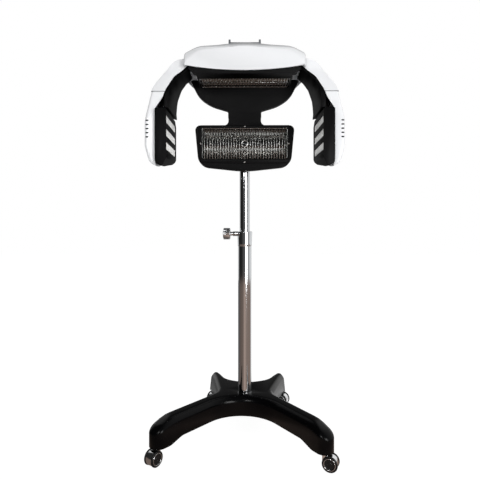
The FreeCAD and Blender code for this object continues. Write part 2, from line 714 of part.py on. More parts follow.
def make_hinges():
    """Two welded ears at each end of the deck and the pin through them."""
    brackets = []
    pins = []
    for side, name in ((1, "right"), (-1, "left")):
        x = side * d.hinge_x
        part = Piece("hinge_ears_" + name, kept=False)
        top = d.hinge_z
        foot = d.deck_height + d.spine_plate
        ear = sided(side, [(d.hinge_x - 12, foot), (d.hinge_x + 12, foot), (d.hinge_x + 12, top + 11, 11),
                           (d.hinge_x - 12, top + 11, 11)])
        half = "barrel_length / 2 + seat_gap"
        part.pad("XZ", [ear], "-1 * arm_middle + 4 + " + half, "4")
        rear = part.body
        other = Piece("hinge_ears_front_" + name, kept=False)
        other.pad("XZ", [ear], "-1 * arm_middle - barrel_length / 2 - seat_gap", "4")
        for item in (part, other):
            item.cut("XZ", [(x, d.hinge_z, "hinge_pin / 2")], "0", "300")
            brackets.append(item.body)
        pins.append(rod("hinge_pin_" + name, "hinge_pin / 2", "barrel_length + 14",
                        "hinge_x" if side > 0 else "-1 * hinge_x",
                        "-1 * arm_middle - barrel_length / 2 - 7", "hinge_z", "Y"))
    combine("Part::Compound", "hinge_brackets", brackets)
    combine("Part::Compound", "arm_pins", pins)


# ---------------------------------------------------------------- rear fascia

def fascia_outline():
    """Shield, neck and nape panel in one outline, seen from the front."""
    right = [
        (0, d.panel_bottom, 420),
        (d.panel_foot, d.panel_bottom + 18, 44),
        (d.panel_half, d.panel_top, 18),
        (d.neck_half, d.panel_top, 16),
        (d.neck_half, d.neck_top, 10),
        (d.shield_half * 0.62, d.neck_top + d.shield_sole, 150),
        (d.shield_half * 0.84, d.neck_top + d.shield_knee, 100),
        (d.shield_half, d.liner_height + 28, 6),
    ]
    return mirrored(right)


def make_fascia():
    """Front shell of shield, neck and nape panel, open at the back."""
    part = Piece("rear_fascia")
    outline = fascia_outline()
    back = "fascia_depth - fascia_front"
    part.pad("XZ", [outline], back, "fascia_depth")
    part.cut("XZ", [inset(outline, d.shell_wall)], back, "fascia_depth - shell_wall")
    half = d.window_half
    low = d.window_middle - d.window_height / 2
    opening = box(-half, low, half, low + d.window_height, 4)
    part.cut("XZ", [opening], "0", "fascia_front + 10")


def make_rear_shell():
    """Rear shell: a shallow tray with a deep bulge over the spine, open at its foot."""
    outline = fascia_outline()
    part = Piece("rear_shell")
    back = "fascia_depth + back_depth - fascia_front"
    part.pad("XZ", [outline], back, "back_depth")
    top = d.liner_height + 28
    bulge = box(-d.spine_half, d.spine_foot, d.spine_half, top, 10)
    hollow = box(-d.spine_half + d.shell_wall, d.spine_foot - 4, d.spine_half - d.shell_wall,
                 top + 30, 8)
    part.pad("XZ", [bulge], "spine_back", "spine_back + fascia_front - fascia_depth - back_depth + 1")
    part.cut("XZ", [inset(outline, d.shell_wall)],
             "fascia_depth + back_depth - fascia_front - shell_wall", "back_depth")
    part.cut("XZ", [hollow], "spine_back - shell_wall", "120")


def make_guard(label, plane, half, low, high, start, crossbars):
    """Wires fused with the rod frame; each wire is a slim bar."""
    part = Piece(label)
    wire = d.wire_diameter
    ring = box(-half + 0.5, low + 0.5, half - 0.5, high - 0.5, 4)
    count = int((2 * half - 8) // d.wire_pitch)
    first = -(count - 1) * d.wire_pitch / 2
    part.pad(plane, [ring, inset(ring, wire)], start, "wire_diameter")
    bars = [box(first + i * d.wire_pitch - wire / 2, low + 1, first + i * d.wire_pitch + wire / 2,
                high - 1) for i in range(count)]
    part.pad(plane, bars, start, "wire_diameter")
    for z in crossbars:
        part.pad(plane, [box(-half + 1, z - wire / 2, half - 1, z + wire / 2)], start,
                 "wire_diameter")


def trough(low, high, front, depth, sheet_wall, flange_high):
    """Side outline of a thin flanged reflector with two troughs and a ridge between them."""
    middle = (low + high) / 2
    outer = [(front, low - 4), (front, low + 1, 1.5), (front + depth, low + 12, 8),
             (front + depth, middle - 12, 8), (front + depth * 0.35, middle, 3),
             (front + depth, middle + 12, 8), (front + depth, high - 12, 8), (front, high - 1, 1.5),
             (front, high + flange_high)]
    inner = [(y - sheet_wall, z, r[0] if r else 0) for y, z, *r in reversed(outer)]
    return [(p[0], p[1], p[2] if len(p) > 2 else 0) for p in outer] + inner


def cap_reach():
    """Lamp axis from the back of its reflector: half the tray's depth."""
    return d.reflector_depth / 2


def make_lamp(name, reach, cap=None):
    """Quartz lamp along X between two ceramic end caps that rest in the reflector."""
    radius = d.lamp_diameter / 2
    cap = (cap or cap_reach()) - d.seat_gap
    profile = [(-reach, 0), (-reach, cap), (-reach + 14, cap), (-reach + 14, radius),
               (reach - 14, radius), (reach - 14, cap), (reach, cap), (reach, 0)]
    lamp = Piece(name, kept=False)
    lamp.turn("XZ", profile, "H_Axis")
    return lamp.body


def make_nape_heater():
    """Bezel, guard, reflector, lamps, sensor ring and screws of the nape heater."""
    half = d.window_half
    low = d.window_middle - d.window_height / 2
    high = low + d.window_height
    bezel = Piece("nape_bezel")
    frame = mirrored([(0, low - 15, 300), (half + 10, low - 12, 14), (half + 12, high + 10, 10)])
    bezel.pad("XZ", [frame, box(-half + 1.5, low + 1.5, half - 1.5, high - 1.5, 5)],
              "-1 * fascia_front", "2.5")
    make_guard("nape_guard", "XZ", half, low, high, "wire_diameter - fascia_front",
               [d.window_middle])
    tray = Piece("nape_reflector")
    front = d.shell_wall + d.seat_gap + d.sheet_metal - d.fascia_front
    tray.pad("YZ", [trough(low, high, front, d.reflector_depth, d.sheet_metal, 4)],
             "4 - window_half", "2 * window_half - 8")
    seat = front + d.reflector_depth - d.sheet_metal
    lamps = []
    for number, z in enumerate((-d.lamp_rows / 2, d.lamp_rows / 2)):
        lamps.append(make_lamp(f"nape_lamp_{number}", half - 14))
        lamps[-1].Placement.Base = Vector(0, seat - cap_reach(), d.window_middle + z)
    combine("Part::Compound", "nape_lamps", lamps)
    ring = Piece("sensor_ring")
    ring.pad("XZ", [(0, d.window_middle, "12.5"), (0, d.window_middle, "9")],
             "-1 * fascia_front", "3")
    screws = []
    places = [(0, high + 5), (0, low - 9), (half + 4, d.window_middle), (-half - 4, d.window_middle)]
    for number, (x, z) in enumerate(places):
        screw = doc.addObject("Part::Cylinder", f"bezel_screw_{number}")
        bind(screw, Radius="2.6", Height="1.2")
        screw.Placement = Placement(Vector(x, -d.fascia_front - 2.5, z), Rotation(Vector(1, 0, 0), 90))
        screws.append(screw)
    combine("Part::Compound", "bezel_screws", screws)


# ---------------------------------------------------------------- hood

def hood_sections(wall, foot):
    """Sections of the hood cover from front to rear: upright ends, shoulders, knees, crown."""
    rows = [
        (-d.hood_front + wall, -16, -118, -84, -68, 14, 60),
        (-d.hood_front + 22, -11, -88, -63, -54, 14, 80),
        (-d.hood_front + 56, -7, -75, -50, -38, 14, 90),
        (-d.hood_front + 116, 0, -56, -31, -11, 12, 120),
        (-40, 0, -52, -24, -2, 12, 120),
        (d.hood_back - wall, -20, -78, -56, -46, 20, 80),
    ]
    result = []
    for y, less, shoulder, knee, top, shoulder_round, knee_round in rows:
        half = d.hood_half + less - wall
        level = d.hood_crown - wall
        section = mirrored([
            (half, foot),
            (half, level + shoulder, shoulder_round - wall),
            (half - d.hood_knee, level + knee, knee_round - wall),
            (0, level + top, 300),
        ])
        result.append((str(round(y, 3)), section))
    return result


def make_hood_cover():
    """White moulded dome, open below, with an open mouth at each end for the arm."""
    part = Piece("hood_cover")
    part.loft("XZ", hood_sections(0, d.hood_lip - 10))
    part.loft("XZ", hood_sections(d.shell_wall, d.hood_lip - 20), additive=False)
    lip = [(-d.hood_half - 10, d.hood_lip - 60), (d.hood_half + 10, d.hood_lip - 60),
           (d.hood_half + 10, d.hood_lip + d.lip_rise + 1), (0, d.hood_lip - d.lip_rise, d.lip_radius),
           (-d.hood_half - 10, d.hood_lip + d.lip_rise + 1)]
    part.cut("XZ", [lip], "300", "700")
    front = -d.arm_middle - d.arm_half - 4
    rear = -d.arm_middle + d.arm_half + 6
    top = d.hood_lip + 69
    mouth = [(front, d.hood_lip - 20), (rear, d.hood_lip - 20), (rear, top, 12), (front, top, 12)]
    for start in ("hood_half - 40", "-1 * hood_half - 12"):
        part.cut("YZ", [mouth], start, "52")
    half = d.console_half + d.seat_gap
    footprint = box(-half, -d.console_front - d.seat_gap, half, d.hood_back + 20, 0)
    part.cut("XY", [footprint], "hood_crown - 68", "300")


def make_hood_liner():
    """Black ceiling under the hood with the top heater's window and a front skirt."""
    part = Piece("hood_liner")
    front = d.hood_front - 2 * d.shell_wall
    rear = d.fascia_front
    sheet_plan = box(-d.liner_half, -front, d.liner_half, -rear, 6)
    part.pad("XY", [sheet_plan], "liner_height", "shell_wall")
    low = -d.top_window_front
    window = box(-d.window_half, low, d.window_half, -d.fascia_front - 3, 4)
    part.cut("XY", [window], "liner_height - 5", "20")
    half = d.hood_half - 28
    skirt = mirrored([(d.liner_half, d.liner_height), (half, d.liner_height + 12, 12),
                      (half, d.liner_height + 26, 10), (half - 18, d.liner_height + 44, 8)])
    part.pad("XZ", [skirt], "2 * shell_wall + seat_gap - hood_front", "shell_wall")


def make_top_heater():
    """Guard, reflector and lamps of the downward heater in the hood."""
    half = d.window_half
    low = -d.top_window_front
    high = -d.fascia_front - 3
    make_guard("top_guard", "XY", half, low, high, "liner_height + 0.4", [(low + high) / 2])
    tray = Piece("top_reflector")
    front = d.liner_height + d.shell_wall + d.seat_gap + d.sheet_metal
    outline = trough(low, high, front, d.reflector_depth, d.sheet_metal, 3 - d.seat_gap)
    flipped = [(y, z, r) for z, y, r in reversed(outline)]
    tray.pad("YZ", [flipped], "4 - window_half", "2 * window_half - 8")
    seat = front + d.reflector_depth - d.sheet_metal
    lamps = []
    for number, y in enumerate((-d.lamp_rows / 2, d.lamp_rows / 2)):
        lamps.append(make_lamp(f"top_lamp_{number}", half - 14))
        lamps[-1].Placement.Base = Vector(0, (low + high) / 2 + y, seat - cap_reach())
    combine("Part::Compound", "top_lamps", lamps)


# ---------------------------------------------------------------- console

def slope():
    """Start, direction and angle of the console's sloping face, in the side view."""
    rise = d.console_top - d.console_foot
    run = d.console_rear + d.console_front - 14
    return math.degrees(math.atan2(rise, run))


def make_console():
    """Sloping operator panel behind the crest, its cheeks standing proud as two horns."""
    front = -d.console_front
    rear = d.console_rear
    body = [(front, d.console_top - 46), (rear, d.console_foot - 26), (rear, d.console_foot, 4),
            (front + 14, d.console_top, 6), (front, d.console_top, 4)]
    cheek = [(front + 2, d.console_top - 40), (rear + 2, d.console_foot - 26), (rear + 2, d.console_foot + 6, 6),
             (front + 12, d.console_top + d.horn_rise, 8), (front + 2, d.console_top - 2, 3)]
    part = Piece("console_shell", kept=False)
    part.pad("YZ", [body], "-1 * console_half", "2 * console_half")
    for start in ("-1 * console_half", "console_half - 7"):
        part.pad("YZ", [cheek], start, "7")
    inner = inset(body, d.shell_wall)
    inner[0] = (inner[0][0], inner[0][1] - 30)
    inner[1] = (inner[1][0], inner[1][1] - 30)
    part.cut("YZ", [inner], "3 - console_half", "2 * console_half - 6")
    return part


def on_slope(distance, proud):
    """A point on the console's slope, in the side view."""
    angle = math.radians(slope())
    y = -d.console_front + 14 + distance * math.cos(angle) + proud * math.sin(angle)
    z = d.console_top - distance * math.sin(angle) + proud * math.cos(angle)
    return y, z


def sloped(item, x, distance, proud):
    """Place an object on the slope, its own Z square to the slope."""
    y, z = on_slope(distance, proud)
    item.Placement = Placement(Vector(x, y, z), Rotation(Vector(1, 0, 0), -slope()))


def make_console_parts():
    """Display window, three buttons and the power rocker, each in its own opening."""
    housing = make_console()
    holes = []
    display = Piece("console_display")
    display.pad("XY", [box(-38, -13, 38, 13, 3)], "-4", "4.6")
    sloped(display.body, 0, d.display_place, 0)
    pocket = Piece("display_hole", kept=False)
    pocket.pad("XY", [box(-38, -13, 38, 13, 3)], "-20", "40")
    sloped(pocket.body, 0, d.display_place, 0)
    holes.append(pocket.body)
    for x, name in ((-26, "down"), (0, "start"), (26, "up")):
        button = Piece("button_" + name)
        flange = "-1 * shell_wall - seat_gap - 1.5"
        button.pad("XY", [(0, 0, "button_diameter / 2 + 1.5")], flange, "1.5")
        button.pad("XY", [(0, 0, "button_diameter / 2")], flange, "shell_wall + seat_gap + 3.7")
        button.fillet("0.8", lambda edge: edge.BoundBox.ZMin > 2.0)
        sloped(button.body, x, d.button_place, 0)
        hole = Piece("button_hole_" + name, kept=False)
        hole.pad("XY", [(0, 0, "button_diameter / 2 + seat_gap")], "-20", "40")
        sloped(hole.body, x, d.button_place, 0)
        holes.append(hole.body)
    rocker = Piece("power_rocker")
    rocker.pad("YZ", [[(-7, -5, 1), (7, -5, 1), (7, 0.5, 1), (0, 2.5, 14), (-7, 3.5, 1)]], "-9", "18")
    sloped(rocker.body, 0, d.rocker_place, 0)
    hole = Piece("rocker_hole", kept=False)
    hole.pad("XY", [box(-9.4, -8.4, 9.4, 8.4, 1)], "-20", "40")
    sloped(hole.body, 0, d.rocker_place, 0)
    holes.append(hole.body)
    tools = combine("Part::MultiFuse", "console_openings", holes, kept=False)
    combine("Part::Cut", "console_housing", [housing.body, tools])


# ---------------------------------------------------------------- side arms

def arm_outer():
    """Outer edge of arm and pod in the front view, from the hood down."""
    x, z = d.hinge_x, d.hinge_z
    wide, seam, low = d.pod_width, d.seam_height, d.pod_bottom
    return [(x + 18, z + 10), (x + 67, z, 50), (wide - 26, seam + 21, 90), (wide, seam - 91, 160),
            (wide, low + 67, 60), (wide - 15, low + 15, 30), (d.pod_back + 1, low + 2)]


def arm_seam():
    """Line between the white shell and the black liner, from the hood down."""
    x, z = d.hinge_x, d.hinge_z
    face, seam = d.pod_face, d.seam_height
    return [(x + 18, z - 14), (x + 38, z - 33, 40), (x + 64, z - 55, 40), (face + 3, seam + 13, 60),
            (face + 15, seam - 18, 40), (face + 26, seam - 51)]


def arm_inner():
    """Inner edge of the arm in the front view, from the hood down."""
    x, z = d.hinge_x, d.hinge_z
    face, seam = d.pod_face, d.seam_height
    return [(x + 18, z - 26), (x + 41, z - 45, 30), (x + 58, z - 65, 40), (face - 11, seam + 12, 60),
            (face + 1, seam - 36, 40), (face + 2, seam - 55)]


def arm_sides():
    """Side view of the arm: it widens from the hood towards the pod."""
    front = -d.arm_middle
    return [(front - d.arm_half, 1400), (front - d.arm_half, 1284, 60),
            (front - d.arm_foot_half, d.seam_height, 60), (front - d.arm_foot_half - 6, 1100, 60),
            (front - d.arm_foot_half - 6, d.pod_bottom + 14, 20), (front - 70, d.pod_bottom - 3, 20),
            (front + 50, d.pod_bottom + 13, 30), (front + d.arm_foot_half + 6, d.pod_bottom + 42, 40),
            (front + d.arm_foot_half + 6, 1100, 60), (front + d.arm_foot_half, d.seam_height, 60),
            (front + d.arm_half, 1284, 60), (front + d.arm_half, 1400)]


def split(points, height, above):
    """The part of a front view line above or below a height, ending on it."""
    result = []
    for p, q in zip(points, points[1:]):
        if (p[1] >= height) == above:
            result.append(p)
        if (p[1] >= height) != (q[1] >= height):
            share = (height - p[1]) / (q[1] - p[1])
            result.append((p[0] + (q[0] - p[0]) * share, height))
    if (points[-1][1] >= height) == above:
        result.append(points[-1])
    return result


def closed(outer, inner):
    """Anticlockwise outline from an outer line and an inner line, both running down."""
    return list(reversed(outer)) + list(inner)


def ahead(start, through, distance):
    """The point past another one, in line with it and the start."""
    along = Vector(through[0] - start[0], through[1] - start[1], 0).normalize()
    return (through[0] + along.x * distance, through[1] + along.y * distance)


def aside(line, distance):
    """A line running down the arm, moved towards the head."""
    result = []
    for i, p in enumerate(line):
        before = line[max(0, i - 1)]
        after = line[min(len(line) - 1, i + 1)]
        along = Vector(after[0] - before[0], after[1] - before[1], 0).normalize()
        result.append((p[0] + along.y * distance, p[1] - along.x * distance) + tuple(p[2:]))
    return result


def make_arm(side, name):
    make_strap(side, name)
    make_arm_shell(side, name)
    make_pod_shell(side, name)
    make_arm_liner(side, name)
    make_pod_housing(side, name)
    make_pod_heater(side, name)


def make_strap(side, name):
    """Bent steel strap from the hinge barrel down into the pod."""
    part = Piece("arm_strap_" + name)
    seat = d.pod_width - d.shell_wall - d.seat_gap
    x, z = d.hinge_x, d.hinge_z
    face, seam = d.pod_face, d.seam_height
    line = [(x, z - 6), (x + 50, z - 6, 30), (x + 86, z - 50, 40), (face + 30, seam - 1, 60),
            (face + 43, seam - 51, 30), (seat, seam - 109, 20), (seat, seam - 161)]
    outline = sided(side, closed(line, aside(line, d.strap_plate)))
    part.pad("XZ", [outline], "strap_width / 2 - arm_middle", "strap_width")
    x = side * d.hinge_x
    part.pad("XZ", [(x, d.hinge_z, "barrel_diameter / 2")],
             "barrel_length / 2 - arm_middle", "barrel_length")
    part.cut("XZ", [(x, d.hinge_z, "hinge_pin / 2 + running_gap")], "0", "300")


def make_arm_shell(side, name):
    """White upper shell, a channel open towards the liner."""
    part = Piece("arm_shell_" + name)
    outer = split(arm_outer(), d.seam_height, True)
    seam = split(arm_seam(), d.seam_height, True)
    part.pad("XZ", [sided(side, closed(outer, seam))], "0", "300")
    part.trim("YZ", arm_sides())
    inner_outer = aside(outer, d.shell_wall)
    low = d.seam_height - 51
    hollow = closed([(d.hinge_x, inner_outer[0][1] - 2)] + inner_outer + [(inner_outer[-1][0], low)],
                    [(d.hinge_x, d.hood_lip + 7)] + aside(seam, 8) + [(seam[-1][0] - 8, low)])
    part.cut("XZ", [sided(side, hollow)], "arm_half - shell_wall - arm_middle",
             "2 * arm_half - 2 * shell_wall")


def make_pod_shell(side, name):
    """White lower shell behind the pod housing, with a column of vent slots."""
    part = Piece("pod_shell_" + name)
    outer = split(arm_outer(), d.seam_height, False)
    seam = split(arm_seam(), d.seam_height, False)
    back = [(d.pod_back + 0.4, d.pod_top + 4), (d.pod_back + 0.4, d.pod_bottom + 2)]
    part.pad("XZ", [sided(side, closed(outer, seam[:-1] + back))], "0", "300")
    part.trim("YZ", arm_sides())
    part.fillet("( pod_width - pod_back ) / 4", lambda edge: outside_edge(edge, side))
    hollow_outer = aside(outer, d.shell_wall)
    hollow_outer = [ahead(hollow_outer[1], hollow_outer[0], 30)] + hollow_outer[1:-1]
    hollow_outer.append((d.pod_back - 6, d.pod_bottom + 8))
    inside = d.pod_face - 4
    hollow = closed(hollow_outer, [(inside, d.seam_height + 29), (inside, d.seam_height - 41),
                                   (d.pod_back - 6, d.seam_height - 81)])
    part.cut("XZ", [sided(side, hollow)], "arm_foot_half - shell_wall - arm_middle",
             "2 * arm_foot_half - 2 * shell_wall")
    foot = d.slot_middle - 27
    slots = [box(-d.arm_middle - 62, foot + i * d.vent_pitch, -d.arm_middle - 26,
                 foot + 3 + i * d.vent_pitch, 1.4) for i in range(8)]
    start = "pod_width - 12" if side > 0 else "-1 * pod_width - 12"
    part.cut("YZ", slots, start, "24")


def outside_edge(edge, side):
    """Long edges between the outer face and the front or rear face of a pod shell."""
    bounds = edge.BoundBox
    if bounds.YLength > 30 or bounds.ZLength < 20:
        return False
    return side * edge.CenterOfMass.x > (d.pod_back + d.pod_width) / 2


def make_arm_liner(side, name):
    """Black inner moulding of the arm, a shallow channel that closes the white shell."""
    part = Piece("arm_liner_" + name)
    part.pad("XZ", [sided(side, closed(arm_seam(), arm_inner()))], "0", "300")
    part.trim("YZ", arm_sides())
    lines = []
    for line in (aside(arm_seam(), -6), aside(arm_inner(), -d.shell_wall)):
        line[0] = ahead(line[1], line[0], 20)
        lines.append(split(line, d.pod_top + 16, True))
    hollow = closed(*lines)
    part.cut("XZ", [sided(side, hollow)], "arm_half - shell_wall - arm_middle",
             "2 * arm_half - 2 * shell_wall")


def pod_outline():
    """Front view of the pod housing: flat heater face, V-shaped foot."""
    return [(d.pod_face, d.pod_top, 5), (d.pod_face, d.pod_sill, 3), (d.pod_face + 14, d.pod_bottom, 5),
            (d.pod_back - 2, d.pod_bottom + 12, 6), (d.pod_back, d.pod_bottom + 24, 4), (d.pod_back, d.pod_top, 2)]


def make_pod_housing(side, name):
    """Black box with three windows in its heater face, open at its back."""
    part = Piece("pod_housing_" + name)
    part.pad("XZ", [sided(side, pod_outline())], "-1 * pod_rear", "pod_front - pod_rear")
    trim = [(-d.pod_front, d.pod_bottom - 4), (-d.pod_rear - 50, d.pod_bottom + 15, 20),
            (-d.pod_rear, d.pod_sill + 16, 8), (-d.pod_rear, d.pod_top - 22, 8),
            (-d.pod_rear - 34, d.pod_top + 4), (-d.pod_front, d.pod_top + 4)]
    part.trim("YZ", trim)
    wall = d.shell_wall
    cavity = box(-d.pod_front + wall, d.pod_sill + 8, -d.pod_rear - wall, d.pod_top - 16, 6)
    start = "pod_face + shell_wall" if side > 0 else "-1 * pod_back - 1"
    part.cut("YZ", [cavity], start, "pod_back + 1 - pod_face - shell_wall")
    slots = [box(-d.pod_front + 5, d.slot_middle + i * d.slot_pitch - d.slot_height / 2,
                 -d.pod_rear - 9, d.slot_middle + i * d.slot_pitch + d.slot_height / 2, 3)
             for i in (-1, 0, 1)]
    start = "pod_face - 2" if side > 0 else "-1 * pod_face - shell_wall - 4"
    part.cut("YZ", slots, start, "shell_wall + 6")


def make_pod_heater(side, name):
    """Guard, reflector and three lamps behind the pod's windows."""
    face = d.pod_face + d.shell_wall
    front = -d.pod_front + 4
    rear = -d.pod_rear - 4
    low = d.pod_sill + 9
    high = d.pod_top - 17
    wire = d.wire_diameter
    mesh = Piece("pod_guard_" + name)
    ring = box(front, low, rear, high, 5)
    count = int((rear - front - 8) // d.wire_pitch)
    first = (front + rear) / 2 - (count - 1) * d.wire_pitch / 2
    start = "pod_face + shell_wall" if side > 0 else "-1 * pod_face - shell_wall - wire_diameter"
    mesh.pad("YZ", [ring, inset(ring, wire)], start, "wire_diameter")
    bars = [box(first + i * d.wire_pitch - wire / 2, low + 0.8, first + i * d.wire_pitch + wire / 2,
                high - 0.8) for i in range(count)]
    mesh.pad("YZ", bars, start, "wire_diameter")
    tray = Piece("pod_reflector_" + name)
    base = face + d.reflector_depth
    steps = []
    for i in (-1, 0, 1):
        z = d.slot_middle + i * d.slot_pitch
        steps += [(face + 4, z - d.slot_pitch / 2 + 1), (base, z - 11, 6), (base, z + 11, 6)]
    steps.append((face + 4, d.slot_middle + 1.5 * d.slot_pitch - 8))
    back = [(p[0] + d.sheet_metal,) + tuple(p[1:]) for p in reversed(steps)]
    tray.pad("XZ", [sided(side, steps + back)], str(rear), str(rear - front))
    lamps = []
    for number, i in enumerate((-1, 0, 1)):
        z = d.slot_middle + i * d.slot_pitch
        lamp = make_lamp(f"pod_lamp_{name}_{number}", (rear - front) / 2 - 6, 7)
        lamp.Placement = Placement(Vector(side * (base - 7), (front + rear) / 2, z),
                                   Rotation(Vector(0, 0, 1), 90))
        lamps.append(lamp)
    combine("Part::Compound", "pod_lamps_" + name, lamps)


# ---------------------------------------------------------------- build

make_base_cover()
make_base_frame()
make_base_screws()
make_power_inlet()
make_casters()
make_outer_tube()
make_collar()
make_guide_bush()
make_lock()
make_mast()
make_yoke()
make_spine()
make_hinges()
make_fascia()
make_rear_shell()
make_nape_heater()
make_hood_cover()
make_hood_liner()
make_top_heater()
make_console_parts()
make_arm(1, "right")
make_arm(-1, "left")
doc.recompute()

for item in doc.Objects:
    if "Invalid" in item.State or "Error" in item.State:
        raise RuntimeError(item.Label + " failed: " + str(item.State))
for item in PIECES:
    if item.Shape.isNull() or not item.Shape.isValid():
        raise RuntimeError(item.Label + " has no valid shape")

os.makedirs("parts", exist_ok=True)
for item in PIECES:
    item.Shape.exportStep("parts/" + item.Label + ".step")
print(len(PIECES), "pieces")
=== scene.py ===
import json
import math
import bpy
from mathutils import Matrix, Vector

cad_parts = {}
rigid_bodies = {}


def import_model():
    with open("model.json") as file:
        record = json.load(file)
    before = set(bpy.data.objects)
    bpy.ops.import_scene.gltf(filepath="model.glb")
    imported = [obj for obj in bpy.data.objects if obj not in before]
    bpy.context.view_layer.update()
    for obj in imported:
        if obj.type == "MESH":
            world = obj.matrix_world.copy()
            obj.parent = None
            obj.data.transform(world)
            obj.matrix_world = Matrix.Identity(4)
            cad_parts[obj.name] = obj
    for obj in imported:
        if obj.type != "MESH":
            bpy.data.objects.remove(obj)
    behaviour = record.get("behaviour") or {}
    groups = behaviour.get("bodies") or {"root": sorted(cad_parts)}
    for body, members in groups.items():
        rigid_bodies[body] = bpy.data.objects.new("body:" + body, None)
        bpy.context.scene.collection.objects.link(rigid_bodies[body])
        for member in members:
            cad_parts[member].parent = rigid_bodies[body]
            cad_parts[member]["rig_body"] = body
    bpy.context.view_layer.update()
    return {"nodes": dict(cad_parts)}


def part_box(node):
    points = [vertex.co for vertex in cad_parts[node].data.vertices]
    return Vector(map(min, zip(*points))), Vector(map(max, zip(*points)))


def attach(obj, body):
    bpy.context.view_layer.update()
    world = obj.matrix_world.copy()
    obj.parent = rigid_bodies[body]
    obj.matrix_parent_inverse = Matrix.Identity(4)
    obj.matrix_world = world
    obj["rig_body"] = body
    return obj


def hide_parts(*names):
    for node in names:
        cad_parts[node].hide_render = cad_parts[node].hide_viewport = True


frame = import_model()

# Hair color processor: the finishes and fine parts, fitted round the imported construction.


# ---------------------------------------------------------------- casters
# Twin-wheel furniture casters: a pressed steel hood with a chrome plate over it, and two nylon
# discs on one axle, each with a bright trim ring pressed into its face.

def linear(code):
    """A colour code of sRGB as linear numbers."""
    result = []
    for place in (0, 2, 4):
        share = int(code[place:place + 2], 16) / 255
        result.append(share / 12.92 if share <= 0.04045 else ((share + 0.055) / 1.055) ** 2.4)
    return tuple(result) + (1.0,)


def add(material, kind, links=(), **settings):
    """Put one node into a material, with its settings and its links into other sockets."""
    tree = material.node_tree
    node = tree.nodes.new("ShaderNode" + kind)
    for name, value in settings.items():
        if name.startswith("in_"):
            key = name[3:].replace("_", " ")
            socket = node.inputs[int(key)] if key.isdigit() else node.inputs[key]
            socket.default_value = value
        else:
            setattr(node, name, value)
    for source, target in links:
        tree.links.new(source, node.inputs[target])
    return node


def finish_material(name, colour, metallic=0.0, roughness=0.5, ior=1.5):
    """A new material with its shader, colour and gloss set on the shader itself."""
    material = bpy.data.materials.new(name)
    material.use_nodes = True
    shader = material.node_tree.nodes["Principled BSDF"]
    shader.inputs["Base Color"].default_value = linear(colour)
    shader.inputs["Metallic"].default_value = metallic
    shader.inputs["Roughness"].default_value = roughness
    if not metallic:
        shader.inputs["IOR"].default_value = ior
    return material, shader


def grain(material, shader, size, depth, gloss=None, detail=4.0, stretch=(1, 1, 1)):
    """Relief of a given grain size and depth in metres, and gloss that varies with it."""
    links = material.node_tree.links
    place = add(material, "TexCoord")
    turned = add(material, "Mapping", [(place.outputs["Object"], "Vector")], in_Scale=stretch)
    noise = add(material, "TexNoise", [(turned.outputs["Vector"], "Vector")],
                in_Scale=1.0 / size, in_Detail=detail)
    bump = add(material, "Bump", [(noise.outputs["Fac"], "Height")], in_Distance=depth,
               in_Strength=1.0)
    links.new(bump.outputs["Normal"], shader.inputs["Normal"])
    if gloss:
        slow = add(material, "TexNoise", [(turned.outputs["Vector"], "Vector")],
                   in_Scale=0.06 / size, in_Detail=3.0)
        spread = add(material, "MapRange", [(slow.outputs["Fac"], "Value")],
                     in_3=gloss[0], in_4=gloss[1])
        links.new(spread.outputs["Result"], shader.inputs["Roughness"])


def alone(item):
    """Select one object and make it the active one."""
    bpy.ops.object.select_all(action="DESELECT")
    item.select_set(True)
    bpy.context.view_layer.objects.active = item


def fit(item, body, material):
    """Settle a finished piece: its place in its mesh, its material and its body."""
    alone(item)
    bpy.ops.object.transform_apply(location=True, rotation=True, scale=True)
    item.data.name = item.name
    item.data.materials.clear()
    item.data.materials.append(material)
    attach(item, body)
    return item


def softened(name, width, material, angle=32.0, segments=2):
    """A copy of a CAD node whose hard edges are rounded; it stands for the node."""
    node = frame["nodes"][name]
    item = bpy.data.objects.new(name + "_skin", node.data.copy())
    bpy.context.scene.collection.objects.link(item)
    alone(item)
    bpy.ops.object.mode_set(mode="EDIT")
    bpy.ops.mesh.select_all(action="SELECT")
    bpy.ops.mesh.remove_doubles(threshold=0.00001)
    bpy.ops.mesh.dissolve_limited(angle_limit=math.radians(0.8))
    bpy.ops.object.mode_set(mode="OBJECT")
    edge = item.modifiers.new("edge", "BEVEL")
    edge.width = width
    edge.segments = segments
    edge.limit_method = "ANGLE"
    edge.angle_limit = math.radians(angle)
    bpy.ops.object.modifier_apply(modifier="edge")
    bpy.ops.object.shade_smooth_by_angle(angle=math.radians(angle))
    fit(item, node["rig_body"], material)
    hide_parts(name)
    return item


def joined(items, name):
    """Several pieces as one mesh."""
    bpy.ops.object.select_all(action="DESELECT")
    for item in items:
        item.select_set(True)
    bpy.context.view_layer.objects.active = items[0]
    bpy.ops.object.join()
    items[0].name = name
    return items[0]


